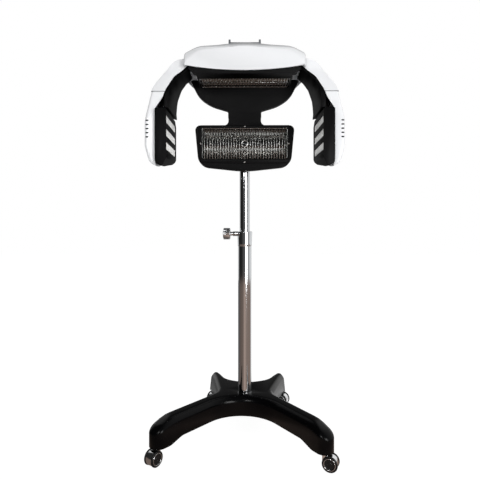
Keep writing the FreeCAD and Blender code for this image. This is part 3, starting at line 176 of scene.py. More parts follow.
# Degrees from the X axis to each axle; the trim ring's radius, its wire, and its place on the axle.
CORNERS = {"front_right": 67, "front_left": -34, "rear_right": 60, "rear_left": -40}
TRIM_RADIUS, TRIM_WIRE, TRIM_OUT = 0.0180, 0.0011, 0.0178
chrome, shader = finish_material("chrome_plate", "D6D8DA", metallic=1.0, roughness=0.06)
grain(chrome, shader, 0.004, 0.000004, gloss=(0.04, 0.10))
nylon, shader = finish_material("moulded_black_nylon", "0E0E0F", roughness=0.4)
shader.inputs["Specular IOR Level"].default_value = 0.35
grain(nylon, shader, 0.0012, 0.00002, gloss=(0.34, 0.48))
hood_chrome, shader = finish_material("satin_chrome", "DADBDC", metallic=1.0, roughness=0.17)
grain(hood_chrome, shader, 0.004, 0.000006, gloss=(0.14, 0.22))
for corner, heading in CORNERS.items():
    softened(f"caster_{corner}_hood", 0.0006, hood_chrome)
    softened(f"caster_{corner}_wheels", 0.0006, nylon)
    low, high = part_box(f"caster_{corner}_wheels")
    middle = (Vector(low) + Vector(high)) / 2
    turn = math.radians(heading)
    axle = Vector((math.cos(turn), math.sin(turn), 0))
    rings = []
    for way in (-1, 1):
        bpy.ops.object.select_all(action="DESELECT")
        bpy.ops.mesh.primitive_torus_add(major_radius=TRIM_RADIUS, minor_radius=TRIM_WIRE,
                                         major_segments=48, minor_segments=10,
                                         location=middle + axle * way * TRIM_OUT)
        ring = bpy.context.object
        ring.rotation_euler = axle.to_track_quat("Z", "Y").to_euler()
        bpy.ops.object.shade_smooth()
        rings.append(ring)
    fit(joined(rings, f"caster_{corner}_trim"), f"wheels_{corner}", hood_chrome)


# ---------------------------------------------------------------- base
# The cover is one moulding of polished black ABS over bars of black enamelled steel, held by
# zinc-plated screws. Its front toes fall away and its rear toes draw in to a ridge.

def dress(names, material):
    """Give CAD nodes a material."""
    for name in names:
        node = frame["nodes"][name]
        for slot in node.material_slots:
            slot.material = material


gloss_black, shader = finish_material("polished_black_abs", "040405", roughness=0.22)
shader.inputs["Specular IOR Level"].default_value = 0.12
grain(gloss_black, shader, 0.006, 0.000012, gloss=(0.16, 0.28))
satin_black, shader = finish_material("satin_black_abs", "040405", roughness=0.5)
shader.inputs["Specular IOR Level"].default_value = 0.1
grain(satin_black, shader, 0.0015, 0.00002, gloss=(0.42, 0.55))
enamel, shader = finish_material("black_enamel", "121213", roughness=0.4)
shader.inputs["Specular IOR Level"].default_value = 0.4
grain(enamel, shader, 0.003, 0.00004, gloss=(0.34, 0.5))
zinc, shader = finish_material("zinc_plate", "A9ABAA", metallic=1.0, roughness=0.32)
grain(zinc, shader, 0.001, 0.00001, gloss=(0.25, 0.42))
FRONT_LEFT_LEG, FRONT_RIGHT_LEG = Vector((-0.74, -0.67, 0)), Vector((0.72, -0.69, 0))
BACKWARD = Vector((0, 1, 0))
FRONT_CUTS, REAR_CUTS = (0.31, 0.33, 0.35, 0.37, 0.385), (0.16, 0.19, 0.22)
COVER_FOOT, COVER_HEIGHT = 0.055, 0.087
FRONT_TOES, FRONT_TOE_START, FRONT_TOE_LENGTH, FRONT_FALL, FALL_CURVE = -0.06, 0.320, 0.085, 0.033, 1.6
REAR_TOE_START, REAR_TOE_LENGTH, REAR_FALL = 0.10, 0.15, 0.014
RIDGE_FOOT, RIDGE_HEIGHT, RIDGE_PINCH = 0.100, 0.042, 0.55
REAR_LEFT_TIP, REAR_RIGHT_TIP, REAR_TIP_BACK = -0.121, 0.150, 0.228
cover = softened("base_cover", 0.0008, gloss_black)
alone(cover)
bpy.ops.object.mode_set(mode="EDIT")
for way, cuts in ((FRONT_LEFT_LEG, FRONT_CUTS), (FRONT_RIGHT_LEG, FRONT_CUTS), (BACKWARD, REAR_CUTS)):
    for reach in cuts:
        bpy.ops.mesh.select_all(action="SELECT")
        bpy.ops.mesh.bisect(plane_co=way * reach, plane_no=way)
bpy.ops.object.mode_set(mode="OBJECT")
for vertex in cover.data.vertices:
    x, y, z = vertex.co
    height = (z - COVER_FOOT) / COVER_HEIGHT
    if y < FRONT_TOES:
        toe = min(1.0, max(0.0, (math.hypot(x, y) - FRONT_TOE_START) / FRONT_TOE_LENGTH))
        vertex.co.z -= FRONT_FALL * toe ** FALL_CURVE * height
    elif y > REAR_TOE_START:
        toe = min(1.0, (y - REAR_TOE_START) / REAR_TOE_LENGTH)
        roof = max(0.0, (z - RIDGE_FOOT) / RIDGE_HEIGHT)
        axis = (REAR_LEFT_TIP if x < 0 else REAR_RIGHT_TIP) * y / REAR_TIP_BACK
        vertex.co.x += (axis - x) * RIDGE_PINCH * toe * roof
        vertex.co.z -= REAR_FALL * toe * height
softened("power_inlet", 0.0004, nylon)
dress(["base_frame", "hinge_brackets"], enamel)
dress(["base_screws", "tilt_pin", "arm_pins", "lock_screw"], zinc)
for name in ("spine_bracket", "arm_strap_right", "arm_strap_left"):
    softened(name, 0.0005, enamel)


# ---------------------------------------------------------------- column
# Two drawn steel tubes, polished and chrome plated, one sliding in the other; the collar and the
# lock knob are chrome as well, and the bushes between the tubes are natural nylon.

tube, shader = finish_material("polished_chrome_tube", "CFD1D3", metallic=1.0, roughness=0.09)
grain(tube, shader, 0.002, 0.000002, gloss=(0.06, 0.12), stretch=(1, 1, 0.02))
white_nylon, shader = finish_material("natural_nylon", "DAD8CF", roughness=0.45)
grain(white_nylon, shader, 0.001, 0.00002, gloss=(0.4, 0.5))
dress(["outer_tube", "inner_tube"], tube)
dress(["guide_bush", "tube_slider"], white_nylon)
softened("column_collar", 0.0006, chrome)
softened("lock_knob", 0.0009, chrome)


# ---------------------------------------------------------------- head mount
# The yoke is a sand-cast aluminium socket, left with its skin and turned where it grips.

cast, shader = finish_material("cast_aluminium", "9FA2A4", metallic=1.0, roughness=0.45)
grain(cast, shader, 0.0015, 0.00008, gloss=(0.4, 0.55))
softened("head_yoke", 0.0010, cast)


# ---------------------------------------------------------------- shells
# White gloss ABS outside and black ABS inside, both injection moulded, with a small radius on
# every outer edge. The operator panel is textured grey ABS.

white, shader = finish_material("white_gloss_abs", "E9EAEC", roughness=0.2)
grain(white, shader, 0.006, 0.000008, gloss=(0.16, 0.26))
softened("hood_cover", 0.0014, white, angle=40.0, segments=3)
POD_FRONT, POD_DEPTH = -0.240, 0.216
FOOT_TOP, FOOT_HEIGHT, FOOT_LIFT = 1.007, 0.050, 0.015
LINER_FOOT, LINER_FADE, LINER_EDGE, LINER_WIDTH, LINER_IN = 1.205, 0.055, 0.235, 0.040, 0.016
SEAM_HEIGHT, SEAM_PROUD = 0.0024, 0.0003
VENT_COUNT, VENT_STEP, VENT_LOW, VENT_OUT, VENT_RADIUS = 5, 0.0135, 1.052, 0.3180, 0.0024
BEFORE_POD = -0.40


def lifted_foot(item):
    """Raise the foot of a pod towards its back."""
    for vertex in item.data.vertices:
        share = min(1.0, max(0.0, (vertex.co.y - POD_FRONT) / POD_DEPTH))
        vertex.co.z += FOOT_LIFT * share * min(1.0, max(0.0, (FOOT_TOP - vertex.co.z) / FOOT_HEIGHT))


def seam_line(side):
    """A grey band of painted shadow where the shell of the arm meets the shell of the pod; it stands for
    the shade in the gap.
    """
    node = frame["nodes"][f"arm_shell_{side}"]
    item = bpy.data.objects.new(f"seam_{side}", node.data.copy())
    bpy.context.scene.collection.objects.link(item)
    alone(item)
    floor_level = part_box(f"arm_shell_{side}")[0][2]
    bpy.ops.object.mode_set(mode="EDIT")
    bpy.ops.mesh.select_all(action="SELECT")
    bpy.ops.mesh.remove_doubles(threshold=0.00001)
    bpy.ops.mesh.select_all(action="SELECT")
    bpy.ops.mesh.bisect(plane_co=(0, 0, floor_level + SEAM_HEIGHT), plane_no=(0, 0, 1), use_fill=True,
                        clear_outer=True)
    bpy.ops.mesh.select_all(action="SELECT")
    bpy.ops.transform.shrink_fatten(value=SEAM_PROUD)
    bpy.ops.object.mode_set(mode="OBJECT")
    fit(item, f"arm_{side}", painted_seam_shadow)


def painted_vent_shade(side, way):
    """Short dark marks on the outer corner of a pod: painted shade, standing for the shade inside the
    vent slots there.
    """
    skin = bpy.data.objects[f"pod_shell_{side}_skin"]
    marks = []
    for step in range(VENT_COUNT):
        start = Vector((way * VENT_OUT, BEFORE_POD, VENT_LOW + VENT_STEP * step))
        hit, place, normal, _ = skin.ray_cast(start, Vector((0, 1, 0)))
        bpy.ops.object.select_all(action="DESELECT")
        bpy.ops.mesh.primitive_cylinder_add(vertices=20, radius=VENT_RADIUS, depth=0.0006)
        mark = bpy.context.object
        mark.scale = (1.0, 2.2, 1.0)
        mark.rotation_euler = normal.to_track_quat("Z", "X").to_euler()
        mark.location = place
        bpy.ops.object.transform_apply(location=True, rotation=True, scale=True)
        marks.append(mark)
    fit(joined(marks, f"corner_vent_shade_{side}"), f"arm_{side}", satin_black)


# The grey of the seam line is painted shadow: it stands for the shade that falls into the gap between the
# shells.
painted_seam_shadow, shader = finish_material("painted_seam_shadow_grey", "8C8D90", roughness=0.6)
grain(painted_seam_shadow, shader, 0.001, 0.00001)
for side, way in (("right", 1), ("left", -1)):
    softened(f"arm_shell_{side}", 0.0024, white, segments=3)
    lifted_foot(softened(f"pod_shell_{side}", 0.0024, white, segments=3))
    lifted_foot(softened(f"pod_housing_{side}", 0.0014, satin_black))
    liner = softened(f"arm_liner_{side}", 0.0012, satin_black)
    for vertex in liner.data.vertices:
        foot = min(1.0, max(0.0, (LINER_FOOT - vertex.co.z) / LINER_FADE))
        outer = min(1.0, max(0.0, (abs(vertex.co.x) - LINER_EDGE) / LINER_WIDTH))
        vertex.co.x -= way * LINER_IN * foot * outer
    seam_line(side)
    # The vent marks are painted shade of the slot openings.
    painted_vent_shade(side, way)
softened("hood_liner", 0.0008, satin_black)
softened("rear_fascia", 0.0018, satin_black, segments=3)
softened("rear_shell", 0.0018, satin_black, segments=3)
softened("nape_bezel", 0.0009, satin_black)
grey, shader = finish_material("grey_abs", "6C6E71", roughness=0.42)
grain(grey, shader, 0.001, 0.00003, gloss=(0.38, 0.5))
softened("console_housing", 0.0008, grey)
for name in ("button_down", "button_start", "button_up", "power_rocker"):
    softened(name, 0.0003, nylon)
lens, shader = finish_material("smoked_acrylic", "0A0D10", roughness=0.06, ior=1.49)
grain(lens, shader, 0.02, 0.000002)
softened("console_display", 0.0004, lens)


# ---------------------------------------------------------------- nape heater guard
# Straight bright-plated wires, spot welded to a bent wire frame. The guard of the top heater is
# made by the same functions and has one cross wire as well.

def rod(name, start, end, radius, sides=10):
    """A round bar with broken edges at its ends."""
    a, b = Vector(start), Vector(end)
    bpy.ops.object.select_all(action="DESELECT")
    bpy.ops.mesh.primitive_cylinder_add(vertices=sides, radius=radius, depth=(b - a).length,
                                        location=(a + b) / 2)
    item = bpy.context.object
    item.name = name
    item.rotation_euler = (b - a).to_track_quat("Z", "Y").to_euler()
    edge = item.modifiers.new("edge", "BEVEL")
    edge.width = radius * 0.3
    edge.segments = 1
    edge.limit_method = "ANGLE"
    edge.angle_limit = math.radians(60)
    bpy.ops.object.modifier_apply(modifier="edge")
    bpy.ops.object.shade_smooth_by_angle(angle=math.radians(50))
    bpy.ops.object.transform_apply(location=True, rotation=True, scale=True)
    return item


def row(item, count, step):
    """Repeat a piece along a step; the copies are part of its mesh."""
    alone(item)
    pattern = item.modifiers.new("row", "ARRAY")
    pattern.count = count
    pattern.use_relative_offset = False
    pattern.use_constant_offset = True
    pattern.constant_offset_displace = step
    bpy.ops.object.modifier_apply(modifier="row")
    return item


def wire_frame(name, width, height, corner, radius, place, turn):
    """A closed rectangle of bent wire, turned out of the X-Y plane by some degrees about X."""
    bpy.ops.object.select_all(action="DESELECT")
    bpy.ops.mesh.primitive_plane_add(size=1.0, location=(0, 0, 0))
    item = bpy.context.object
    item.name = name
    item.scale = (width, height, 1)
    bpy.ops.object.transform_apply(location=True, rotation=True, scale=True)
    bpy.ops.object.mode_set(mode="EDIT")
    bpy.ops.mesh.select_all(action="SELECT")
    bpy.ops.mesh.delete(type="ONLY_FACE")
    bpy.ops.mesh.select_all(action="SELECT")
    bpy.ops.mesh.bevel(offset=corner, segments=5, affect="VERTICES")
    bpy.ops.object.mode_set(mode="OBJECT")
    bpy.ops.object.convert(target="CURVE")
    item = bpy.context.object
    item.data.bevel_depth = radius
    item.data.bevel_resolution = 2
    bpy.ops.object.convert(target="MESH")
    item = bpy.context.object
    item.rotation_euler = (math.radians(turn), 0, 0)
    item.location = place
    bpy.ops.object.transform_apply(location=True, rotation=True, scale=True)
    bpy.ops.object.shade_smooth_by_angle(angle=math.radians(60))
    return item


def guard(name, low, high, pitch, radius, axis_up, cross):
    """Wires across a window between two corners: upright, or level from front to back."""
    middle = (Vector(low) + Vector(high)) / 2
    width = high[0] - low[0] - 2 * radius
    count = int(width // pitch)
    first = middle.x - (count - 1) * pitch / 2
    if axis_up:
        a, b = (first, middle.y, low[2] + 0.001), (first, middle.y, high[2] - 0.001)
    else:
        a, b = (first, low[1] + 0.001, middle.z), (first, high[1] - 0.001, middle.z)
    pieces = [row(rod(name + "_wires", a, b, radius), count, (pitch, 0, 0))]
    for share in cross:
        here = Vector(low) + (Vector(high) - Vector(low)) * share
        y = middle.y + radius if axis_up else here.y
        z = here.z if axis_up else middle.z + radius
        pieces.append(rod(name + "_cross", (low[0] + 0.002, y, z), (high[0] - 0.002, y, z), radius))
    height = (high[2] - low[2] if axis_up else high[1] - low[1]) - 2 * radius
    ring = wire_frame(name + "_ring", width, height, 0.004, radius, middle, 90 if axis_up else 180)
    return joined(pieces + [ring], name)


wire, shader = finish_material("bright_wire", "CFCFCD", metallic=1.0, roughness=0.32)
grain(wire, shader, 0.001, 0.000006, gloss=(0.26, 0.38))
WIRE, PITCH = 0.0009, 0.0097
low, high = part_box("nape_guard")
item = guard("nape_wires", low, high, PITCH, WIRE, True, [])
fit(item, "head", wire)
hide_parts("nape_guard")


# ---------------------------------------------------------------- reflectors
# Two troughs pressed in one polished aluminium sheet, closed by end walls that lean outwards.

def mapped_grid(name, columns, rows, place):
    """A sheet of quads whose corners a function of two shares puts in place."""
    bpy.ops.object.select_all(action="DESELECT")
    bpy.ops.mesh.primitive_grid_add(x_subdivisions=columns, y_subdivisions=rows, size=1.0)
    item = bpy.context.object
    item.name = name
    for vertex in item.data.vertices:
        vertex.co = place(vertex.co.x + 0.5, vertex.co.y + 0.5)
    bpy.ops.object.shade_smooth_by_angle(angle=math.radians(38))
    return item


def thick(item, wall):
    """Give a sheet its thickness, away from the side it is seen from."""
    alone(item)
    sheet = item.modifiers.new("wall", "SOLIDIFY")
    sheet.thickness = wall
    sheet.offset = -1.0
    bpy.ops.object.modifier_apply(modifier="wall")
    return item


def ribs(place):
    """Height of the upright ribs that are rolled into the sheet."""
    return RIB_HEIGHT * math.cos(math.tau * place / PITCH)


def trough_depth(place, half, depth, rows_apart):
    """Depth of two elliptical troughs at a distance from the middle of the window."""
    share = (abs(place) - rows_apart / 2) / (half - rows_apart / 2)
    return depth * math.sqrt(max(0.0, 1.0 - min(1.0, abs(share)) ** 2.4))


RIB_HEIGHT, END_SLOPE, SHEET, SHEET_STEP = 0.0013, 2.3, 0.0008, 0.0014
bright, shader = finish_material("polished_reflector", "787876", metallic=1.0, roughness=0.07)
grain(bright, shader, 0.006, 0.00002, gloss=(0.05, 0.1))
low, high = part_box("nape_reflector")
HALF_X = high[0]
MID_Z = (low[2] + high[2]) / 2
HALF_Z = (high[2] - low[2]) / 2 - 0.004
FRONT = low[1] + SHEET
DEPTH = high[1] - low[1] - 0.005


def nape_sheet(u, v):
    x = (2 * u - 1) * HALF_X
    z = (2 * v - 1) * HALF_Z
    wall = (HALF_X - abs(x)) * END_SLOPE
    deep = min(trough_depth(z, HALF_Z, DEPTH, 0.056), wall)
    relief = ribs(x) * max(0.0, min(1.0, deep / 0.003, (wall - deep) / 0.004))
    return Vector((x, FRONT + SHEET_STEP + deep + relief, MID_Z + z))


item = thick(mapped_grid("nape_troughs", 250, 48, nape_sheet), SHEET)
fit(item, "head", bright)
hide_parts("nape_reflector")


# ---------------------------------------------------------------- divider
# A black steel strip covers the ridge between the troughs. Two domed screws hold it, near its
# ends.

def plate(name, low, high, edge_width):
    """A flat bar with rounded edges between two corners."""
    a, b = Vector(low), Vector(high)
    bpy.ops.object.select_all(action="DESELECT")
    bpy.ops.mesh.primitive_cube_add(size=1.0, location=(a + b) / 2)
    item = bpy.context.object
    item.name = name
    item.scale = b - a
    bpy.ops.object.transform_apply(location=True, rotation=True, scale=True)
    edge = item.modifiers.new("edge", "BEVEL")
    edge.width = edge_width
    edge.segments = 2
    bpy.ops.object.modifier_apply(modifier="edge")
    bpy.ops.object.shade_smooth_by_angle(angle=math.radians(40))
    return item


def screw_head(name, place, radius, height, facing):
    """A domed screw head with a cross recess, facing along a direction."""
    bpy.ops.object.select_all(action="DESELECT")
    bpy.ops.mesh.primitive_uv_sphere_add(segments=24, ring_count=12, radius=radius)
    item = bpy.context.object
    item.name = name
    bpy.ops.object.mode_set(mode="EDIT")
    bpy.ops.mesh.select_all(action="SELECT")
    bpy.ops.mesh.bisect(plane_co=(0, 0, 0), plane_no=(0, 0, -1), clear_outer=True, use_fill=True)
    bpy.ops.object.mode_set(mode="OBJECT")
    for vertex in item.data.vertices:
        across = min(abs(vertex.co.x), abs(vertex.co.y))
        along = max(abs(vertex.co.x), abs(vertex.co.y))
        vertex.co.z *= height / radius
        if vertex.co.z > 0 and across < radius * 0.14 and along < radius * 0.62:
            vertex.co.z -= height * 0.4
    item.rotation_euler = Vector(facing).to_track_quat("Z", "Y").to_euler()
    item.location = place
    bpy.ops.object.transform_apply(location=True, rotation=True, scale=True)
    bpy.ops.object.shade_smooth_by_angle(angle=math.radians(40))
    return item


blued, shader = finish_material("heat_black_steel", "060607", roughness=0.5)
shader.inputs["Specular IOR Level"].default_value = 0.3
grain(blued, shader, 0.002, 0.00002, gloss=(0.42, 0.6))
STRIP_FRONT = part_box("nape_guard")[1][1] + 0.0002
STRIP_HALF, STRIP_RISE, STRIP_WALL, STRIP_SCREWS = 0.140, 0.0062, 0.0012, 0.124
strip = plate("nape_divider", (-STRIP_HALF, STRIP_FRONT, MID_Z - STRIP_RISE),
              (STRIP_HALF, STRIP_FRONT + STRIP_WALL, MID_Z + STRIP_RISE), 0.0004)
fit(strip, "head", blued)
heads = [screw_head("divider_screw", (x, STRIP_FRONT, MID_Z), 0.0034, 0.0016, (0, -1, 0))
         for x in (-STRIP_SCREWS, STRIP_SCREWS)]
fit(joined(heads, "divider_screws"), "head", wire)


# ---------------------------------------------------------------- lamps
# Clear quartz tubes with a wound filament and brown steatite caps at both ends: two at the nape,
# two at the top and three in each pod.

def hollow(name, start, end, radius, wall):
    """A thin-walled tube, open at its ends."""
    a, b = Vector(start), Vector(end)
    bpy.ops.object.select_all(action="DESELECT")
    bpy.ops.mesh.primitive_cylinder_add(vertices=32, radius=radius, depth=(b - a).length,
                                        end_fill_type="NOTHING", location=(a + b) / 2)
    item = bpy.context.object
    item.name = name
    item.rotation_euler = (b - a).to_track_quat("Z", "Y").to_euler()
    bpy.ops.object.transform_apply(location=True, rotation=True, scale=True)
    thick(item, wall)
    bpy.ops.object.shade_smooth_by_angle(angle=math.radians(50))
    return item


def filament(name, start, end, radius, turns, thickness):
    """A wound wire along the axis of a lamp."""
    a, b = Vector(start), Vector(end)
    along = (b - a)
    side = along.normalized().orthogonal()
    other = along.normalized().cross(side)
    steps = turns * 8
    curve = bpy.data.curves.new(name, "CURVE")
    curve.dimensions = "3D"
    line = curve.splines.new("POLY")
    line.points.add(steps)
    for i in range(steps + 1):
        angle = math.tau * i / 8
        spot = a + along * (i / steps) + (side * math.cos(angle) + other * math.sin(angle)) * radius
        line.points[i].co = (*spot, 1)
    curve.bevel_depth = thickness
    curve.bevel_resolution = 0
    item = bpy.data.objects.new(name, curve)
    bpy.context.scene.collection.objects.link(item)
    alone(item)
    bpy.ops.object.convert(target="MESH")
    return bpy.context.object


def lamps(prefix, node, body, ends, radius, cap):
    """Glass, filaments and caps of the lamps of one heater; each end pair is two points."""
    glass, coils, caps = [], [], []
    for a, b in ends:
        a, b = Vector(a), Vector(b)
        along = (b - a).normalized()
        into_cap, into_glass = along * GLASS_START, along * COIL_START
        glass.append(hollow(prefix + "_glass", a + into_cap, b - into_cap, radius, GLASS_WALL))
        coils.append(filament(prefix + "_coil", a + into_glass, b - into_glass,
                              radius * COIL_SHARE, COIL_TURNS, COIL_WIRE))
        for point, way in ((a, along), (b, -along)):
            caps.append(rod(prefix + "_cap", point, point + way * CAP_LENGTH, cap, sides=24))
    item = fit(joined(glass, prefix + "_tubes"), body, quartz)
    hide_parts(node)
    fit(joined(coils, prefix + "_filaments"), body, tungsten)
    fit(joined(caps, prefix + "_caps"), body, steatite)


LAMP_RADIUS, GLASS_WALL, GLASS_START, CAP_LENGTH = 0.005, 0.0008, 0.010, 0.013
COIL_START, COIL_SHARE, COIL_TURNS, COIL_WIRE = 0.016, 0.42, 60, 0.0003
LAMP_SPREAD = 0.028
quartz, shader = finish_material("clear_quartz", "F2F2F0", roughness=0.03, ior=1.46)
shader.inputs["Transmission Weight"].default_value = 1.0
grain(quartz, shader, 0.004, 0.000006)
tungsten, shader = finish_material("drawn_tungsten", "5A5550", metallic=1.0, roughness=0.35)
grain(tungsten, shader, 0.001, 0.000004)
steatite, shader = finish_material("brown_steatite", "4A4641", roughness=0.4)
grain(steatite, shader, 0.002, 0.00001, gloss=(0.34, 0.46))
low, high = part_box("nape_lamps")
LAMP_Y = (low[1] + high[1]) / 2
spans = [((low[0], LAMP_Y, MID_Z + z), (high[0], LAMP_Y, MID_Z + z))
         for z in (-LAMP_SPREAD, LAMP_SPREAD)]
lamps("nape", "nape_lamps", "head", spans, LAMP_RADIUS, (high[1] - low[1]) / 2)


# ---------------------------------------------------------------- clips, sensor and bezel screws
# Bright spring clips hold the tubes of the nape heater. The sensor looks out of a bright ring as
# a black lens, and four domed screws hold the bezel.

CLIP_PLACE, CLIP_HALF, CLIP_LEVEL, CLIP_RISE = 0.037, 0.0035, 0.0085, 0.0008
CLIP_FRONT, CLIP_BACK = 0.0065, 0.006
clips = []
for x in (-CLIP_PLACE, CLIP_PLACE):
    for z in (-LAMP_SPREAD, LAMP_SPREAD):
        for level in (-CLIP_LEVEL, CLIP_LEVEL):
            height = MID_Z + z + level
            clips.append(plate("clip", (x - CLIP_HALF, LAMP_Y - CLIP_FRONT, height - CLIP_RISE),
                               (x + CLIP_HALF, LAMP_Y + CLIP_BACK, height + CLIP_RISE), 0.0004))
fit(joined(clips, "lamp_clips"), "head", wire)

low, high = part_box("sensor_ring")
SENSOR = ((low[0] + high[0]) / 2, (low[1] + high[1]) / 2, (low[2] + high[2]) / 2)
bpy.ops.object.select_all(action="DESELECT")
bpy.ops.mesh.primitive_torus_add(major_radius=0.0108, minor_radius=0.0019, major_segments=48,
                                 minor_segments=12, location=SENSOR, rotation=(math.radians(90), 0, 0))
ring = bpy.context.object
ring.name = "sensor_trim"
bpy.ops.object.shade_smooth()
fit(ring, "head", wire)
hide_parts("sensor_ring")
bpy.ops.object.select_all(action="DESELECT")
bpy.ops.mesh.primitive_uv_sphere_add(segments=32, ring_count=16, radius=0.0095)
dome = bpy.context.object
dome.name = "sensor_dome"
bpy.ops.object.mode_set(mode="EDIT")
bpy.ops.mesh.select_all(action="SELECT")
bpy.ops.mesh.bisect(plane_co=(0, 0, 0), plane_no=(0, 0, -1), clear_outer=True, use_fill=True)
bpy.ops.object.mode_set(mode="OBJECT")
dome.scale = (1, 1, 0.35)
dome.rotation_euler = (math.radians(90), 0, 0)
dome.location = (SENSOR[0], high[1] - 0.0005, SENSOR[2])
bpy.ops.object.shade_smooth_by_angle(angle=math.radians(50))
fit(dome, "head", lens)

low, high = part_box("bezel_screws")
HEAD_Y = high[1]
INSET = 0.0026
spots = [(0, high[2] - INSET), (0, low[2] + INSET), (high[0] - INSET, MID_Z), (low[0] + INSET, MID_Z)]
heads = [screw_head("bezel_screw", (x, HEAD_Y, z), 0.003, 0.0013, (0, -1, 0)) for x, z in spots]
heads = joined(heads, "bezel_screw_heads")
fit(heads, "head", wire)
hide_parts("bezel_screws")


# ---------------------------------------------------------------- top heater
# The same sheet, lamps and guard as at the nape, lying in the ceiling of the hood.

low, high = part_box("top_guard")
item = guard("top_wires", low, high, PITCH, WIRE, False, [0.5])
fit(item, "head", wire)
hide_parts("top_guard")
low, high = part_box("top_reflector")
TOP_X = high[0]
TOP_Y = (low[1] + high[1]) / 2
TOP_HALF = (high[1] - low[1]) / 2 - 0.003
TOP_Z = low[2] + 0.001
TOP_DEPTH = high[2] - low[2] - 0.005


def top_sheet(u, v):
    x = (1 - 2 * u) * TOP_X
    y = (2 * v - 1) * TOP_HALF
    wall = (TOP_X - abs(x)) * END_SLOPE
    deep = min(trough_depth(y, TOP_HALF, TOP_DEPTH, 0.052), wall)
    relief = ribs(x) * max(0.0, min(1.0, deep / 0.003, (wall - deep) / 0.004))
    return Vector((x, TOP_Y + y, TOP_Z + SHEET_STEP + deep + relief))


item = thick(mapped_grid("top_troughs", 250, 48, top_sheet), SHEET)
fit(item, "head", bright)
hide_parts("top_reflector")
low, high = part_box("top_lamps")
LAMP_Z = (low[2] + high[2]) / 2
middle = (low[1] + high[1]) / 2
spans = [((low[0], middle + y, LAMP_Z), (high[0], middle + y, LAMP_Z))
         for y in (-LAMP_SPREAD, LAMP_SPREAD)]
lamps("top", "top_lamps", "head", spans, LAMP_RADIUS, (high[2] - low[2]) / 2)


# ---------------------------------------------------------------- side heaters
# Each pod has three short lamps across it in one stepped reflector, behind a welded wire mesh. The mesh
# is drawn white: painted reflection, standing for the bright glint of its wires.

# White wire colour: painted reflection, in place of the glint of bright metal wires.
wire_painted_white, shader = finish_material("white_wire_painted_glint", "F4F4F2", roughness=0.4)
grain(wire_painted_white, shader, 0.001, 0.00001, gloss=(0.34, 0.46))
POD_LAMPS = (-0.044, 0.0, 0.044)
UPRIGHT_PITCH, UPRIGHT_WIRE, LEVEL_PITCH, LEVEL_WIRE = 0.005, 0.0008, 0.0065, 0.0006
MESH_RIM, WIRE_SHORT = 0.004, 0.001
for side in ("right", "left"):
    low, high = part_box(f"pod_guard_{side}")
    x = (low[0] + high[0]) / 2
    width, height = high[1] - low[1], high[2] - low[2]
    count = int((width - MESH_RIM) // UPRIGHT_PITCH)
    start = low[1] + (width - (count - 1) * UPRIGHT_PITCH) / 2
    bar = rod("mesh", (x, start, low[2] + WIRE_SHORT), (x, start, high[2] - WIRE_SHORT), UPRIGHT_WIRE,
              sides=8)
    bars = [row(bar, count, (0, UPRIGHT_PITCH, 0))]
    count = int((height - MESH_RIM) // LEVEL_PITCH)
    start = low[2] + (height - (count - 1) * LEVEL_PITCH) / 2
    bar = rod("mesh", (x, low[1] + WIRE_SHORT, start), (x, high[1] - WIRE_SHORT, start), LEVEL_WIRE,
              sides=8)
    bars.append(row(bar, count, (0, 0, LEVEL_PITCH)))
    mesh = fit(joined(bars, f"pod_mesh_{side}"), f"arm_{side}", wire_painted_white)
    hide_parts(f"pod_guard_{side}")
    softened(f"pod_reflector_{side}", 0.0003, bright, angle=25.0)
    low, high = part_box(f"pod_lamps_{side}")
    x = (low[0] + high[0]) / 2
    middle = (low[2] + high[2]) / 2
    spans = [((x, low[1], middle + z), (x, high[1], middle + z)) for z in POD_LAMPS]
    lamps(f"pod_{side}", f"pod_lamps_{side}", f"arm_{side}", spans, LAMP_RADIUS, (high[0] - low[0]) / 2)


# ---------------------------------------------------------------- studio
# A pale floor on a white backdrop, two soft lamps in front and four wide ones round it. Screens
# are seen only in reflections: dark on the left, dim in front, bright right and at the rear corners.

def ring_tones(material, stops):
    """A tone by direction round the middle: 0 and 1 are behind, 0.5 is in front, 0.75 right."""
    spot = add(material, "TexCoord")
    turned = add(material, "Mapping", [(spot.outputs["Object"], "Vector")],
                 in_Rotation=(0, 0, math.radians(90)))
    angle = add(material, "TexGradient", [(turned.outputs["Vector"], "Vector")],
                gradient_type="RADIAL")
    tones = add(material, "ValToRGB", [(angle.outputs["Fac"], "Fac")])
    ramp = tones.color_ramp
    ramp.elements[0].position, ramp.elements[1].position = stops[0][0], stops[-1][0]
    for place, _, _ in stops[1:-1]:
        ramp.elements.new(place)
    for element, (_, code, level) in zip(ramp.elements, stops):
        element.color = (*(level * part for part in linear(code)[:3]), 1.0)
    return tones.outputs["Color"]


bpy.ops.object.select_all(action="DESELECT")
bpy.ops.mesh.primitive_plane_add(size=16.0, location=(0, 0, 0))
floor = bpy.context.object
floor.name = "studio_floor"
paper = bpy.data.materials.new("pale_paper")
paper.use_nodes = True
tree = paper.node_tree
base = tree.nodes["Principled BSDF"]
base.inputs["Base Color"].default_value = linear("F4F4F4")
base.inputs["Roughness"].default_value = 0.9
rays = add(paper, "LightPath")
glow = add(paper, "Emission", in_Color=(1, 1, 1, 1), in_Strength=1.2)
seen = add(paper, "MixShader", [(base.outputs["BSDF"], 1), (glow.outputs["Emission"], 2)])
share = add(paper, "Math", [(rays.outputs["Is Camera Ray"], 0)], operation="MULTIPLY", in_1=0.78)
tree.links.new(share.outputs["Value"], seen.inputs[0])
WARM, PALE = "FFE2D2", "FFFFFF"
tones = ring_tones(paper, [(0.0, PALE, 0.3), (0.10, PALE, 0.3), (0.16, PALE, 0.12),
                           (0.30, WARM, 0.17), (0.42, WARM, 0.22), (0.50, WARM, 0.55),
                           (0.58, WARM, 0.32), (0.80, WARM, 0.28), (0.88, PALE, 1.0), (1.0, PALE, 0.3)])
mirror = add(paper, "Emission", [(tones, "Color")])
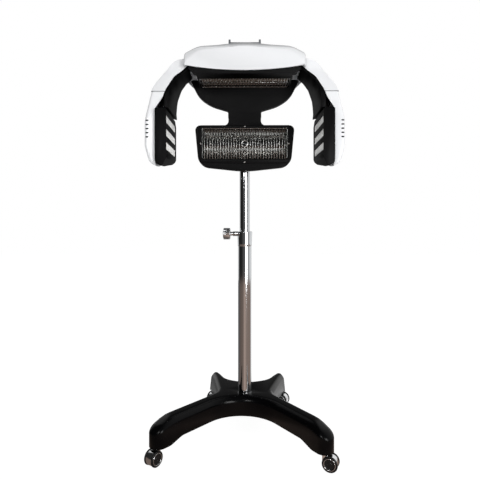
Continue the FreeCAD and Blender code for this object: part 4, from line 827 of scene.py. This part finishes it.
final = add(paper, "MixShader", [(rays.outputs["Is Glossy Ray"], 0), (seen.outputs["Shader"], 1),
                                 (mirror.outputs["Emission"], 2)])
tree.links.new(final.outputs["Shader"], tree.nodes["Material Output"].inputs["Surface"])
floor.data.materials.append(paper)

bpy.ops.object.select_all(action="DESELECT")
bpy.ops.mesh.primitive_cylinder_add(vertices=96, radius=4.0, depth=5.0, end_fill_type="NGON",
                                    location=(0, 0, 2.45))
screens = bpy.context.object
screens.name = "studio_screens"
bpy.ops.object.shade_smooth_by_angle(angle=math.radians(40))
cloth = bpy.data.materials.new("grey_screens")
cloth.use_nodes = True
tree = cloth.node_tree
tones = ring_tones(cloth, [(0.0, PALE, 0.12), (0.05, PALE, 0.12), (0.07, PALE, 0.8), (0.15, PALE, 0.8),
                           (0.19, PALE, 0.02), (0.36, PALE, 0.02),
                           (0.46, PALE, 0.10), (0.52, PALE, 0.18), (0.60, PALE, 0.12),
                           (0.72, PALE, 0.7), (0.84, PALE, 1.0), (0.91, PALE, 1.0), (0.94, PALE, 0.12),
                           (1.0, PALE, 0.12)])
lit = add(cloth, "Emission", [(tones, "Color")])
tree.links.new(lit.outputs["Emission"], tree.nodes["Material Output"].inputs["Surface"])
screens.data.materials.append(cloth)
screens.visible_camera = False
screens.visible_diffuse = False
screens.visible_shadow = False
screens.visible_transmission = False

world = bpy.data.worlds.new("studio")
bpy.context.scene.world = world
world.use_nodes = True
sky = world.node_tree.nodes["Background"]
sky.inputs["Color"].default_value = (1, 1, 1, 1)
rays = world.node_tree.nodes.new("ShaderNodeLightPath")
dull = world.node_tree.nodes.new("ShaderNodeMapRange")
dull.inputs[3].default_value = 1.0
dull.inputs[4].default_value = 0.29
world.node_tree.links.new(rays.outputs["Is Diffuse Ray"], dull.inputs["Value"])
world.node_tree.links.new(dull.outputs["Result"], sky.inputs["Strength"])


def softbox(name, place, target, size, power):
    """A square area lamp aimed at a point."""
    lamp = bpy.data.lights.new(name, "AREA")
    lamp.size = size
    lamp.energy = power
    item = bpy.data.objects.new(name, lamp)
    item.location = place
    item.rotation_euler = (Vector(target) - Vector(place)).to_track_quat("-Z", "Y").to_euler()
    bpy.context.scene.collection.objects.link(item)
    return item


HEAD, MIDDLE = (0, 0, 1.1), (0, 0, 1.0)
KEY_SIZE, FILL_SIZE, OUTER_SIZE = 1.3, 0.7, 1.8
OUTER_LAMPS = (((2.4, 2.6, 1.9), 34), ((-2.4, 2.6, 1.9), 18), ((-3.2, -0.4, 1.6), 2), ((0, -0.9, 3.3), 9))
softbox("key_lamp", (1.6, -2.8, 0.75), HEAD, KEY_SIZE, 51)
softbox("fill_lamp", (-0.9, -3.0, 1.6), HEAD, FILL_SIZE, 20)
for place, power in OUTER_LAMPS:
    softbox("outer_lamp", place, MIDDLE, OUTER_SIZE, power).visible_glossy = False

LENS_PIXELS = 450.0
FRAME_PIXELS = 480.0
HORIZON_ROW = 218.0
COLUMN_PIXEL = 244.7
view = bpy.data.cameras.new("camera")
view.sensor_width = 36.0
view.lens = view.sensor_width * LENS_PIXELS / FRAME_PIXELS
view.shift_y = (HORIZON_ROW - FRAME_PIXELS / 2) / FRAME_PIXELS
camera = bpy.data.objects.new("camera", view)
bpy.context.scene.collection.objects.link(camera)
camera.location = (0.0, -1.690, 0.788)
yaw = math.atan2(COLUMN_PIXEL - FRAME_PIXELS / 2, LENS_PIXELS)
camera.rotation_euler = (math.radians(90), 0, yaw)
bpy.context.scene.camera = camera
bpy.context.scene.view_settings.view_transform = "Standard"
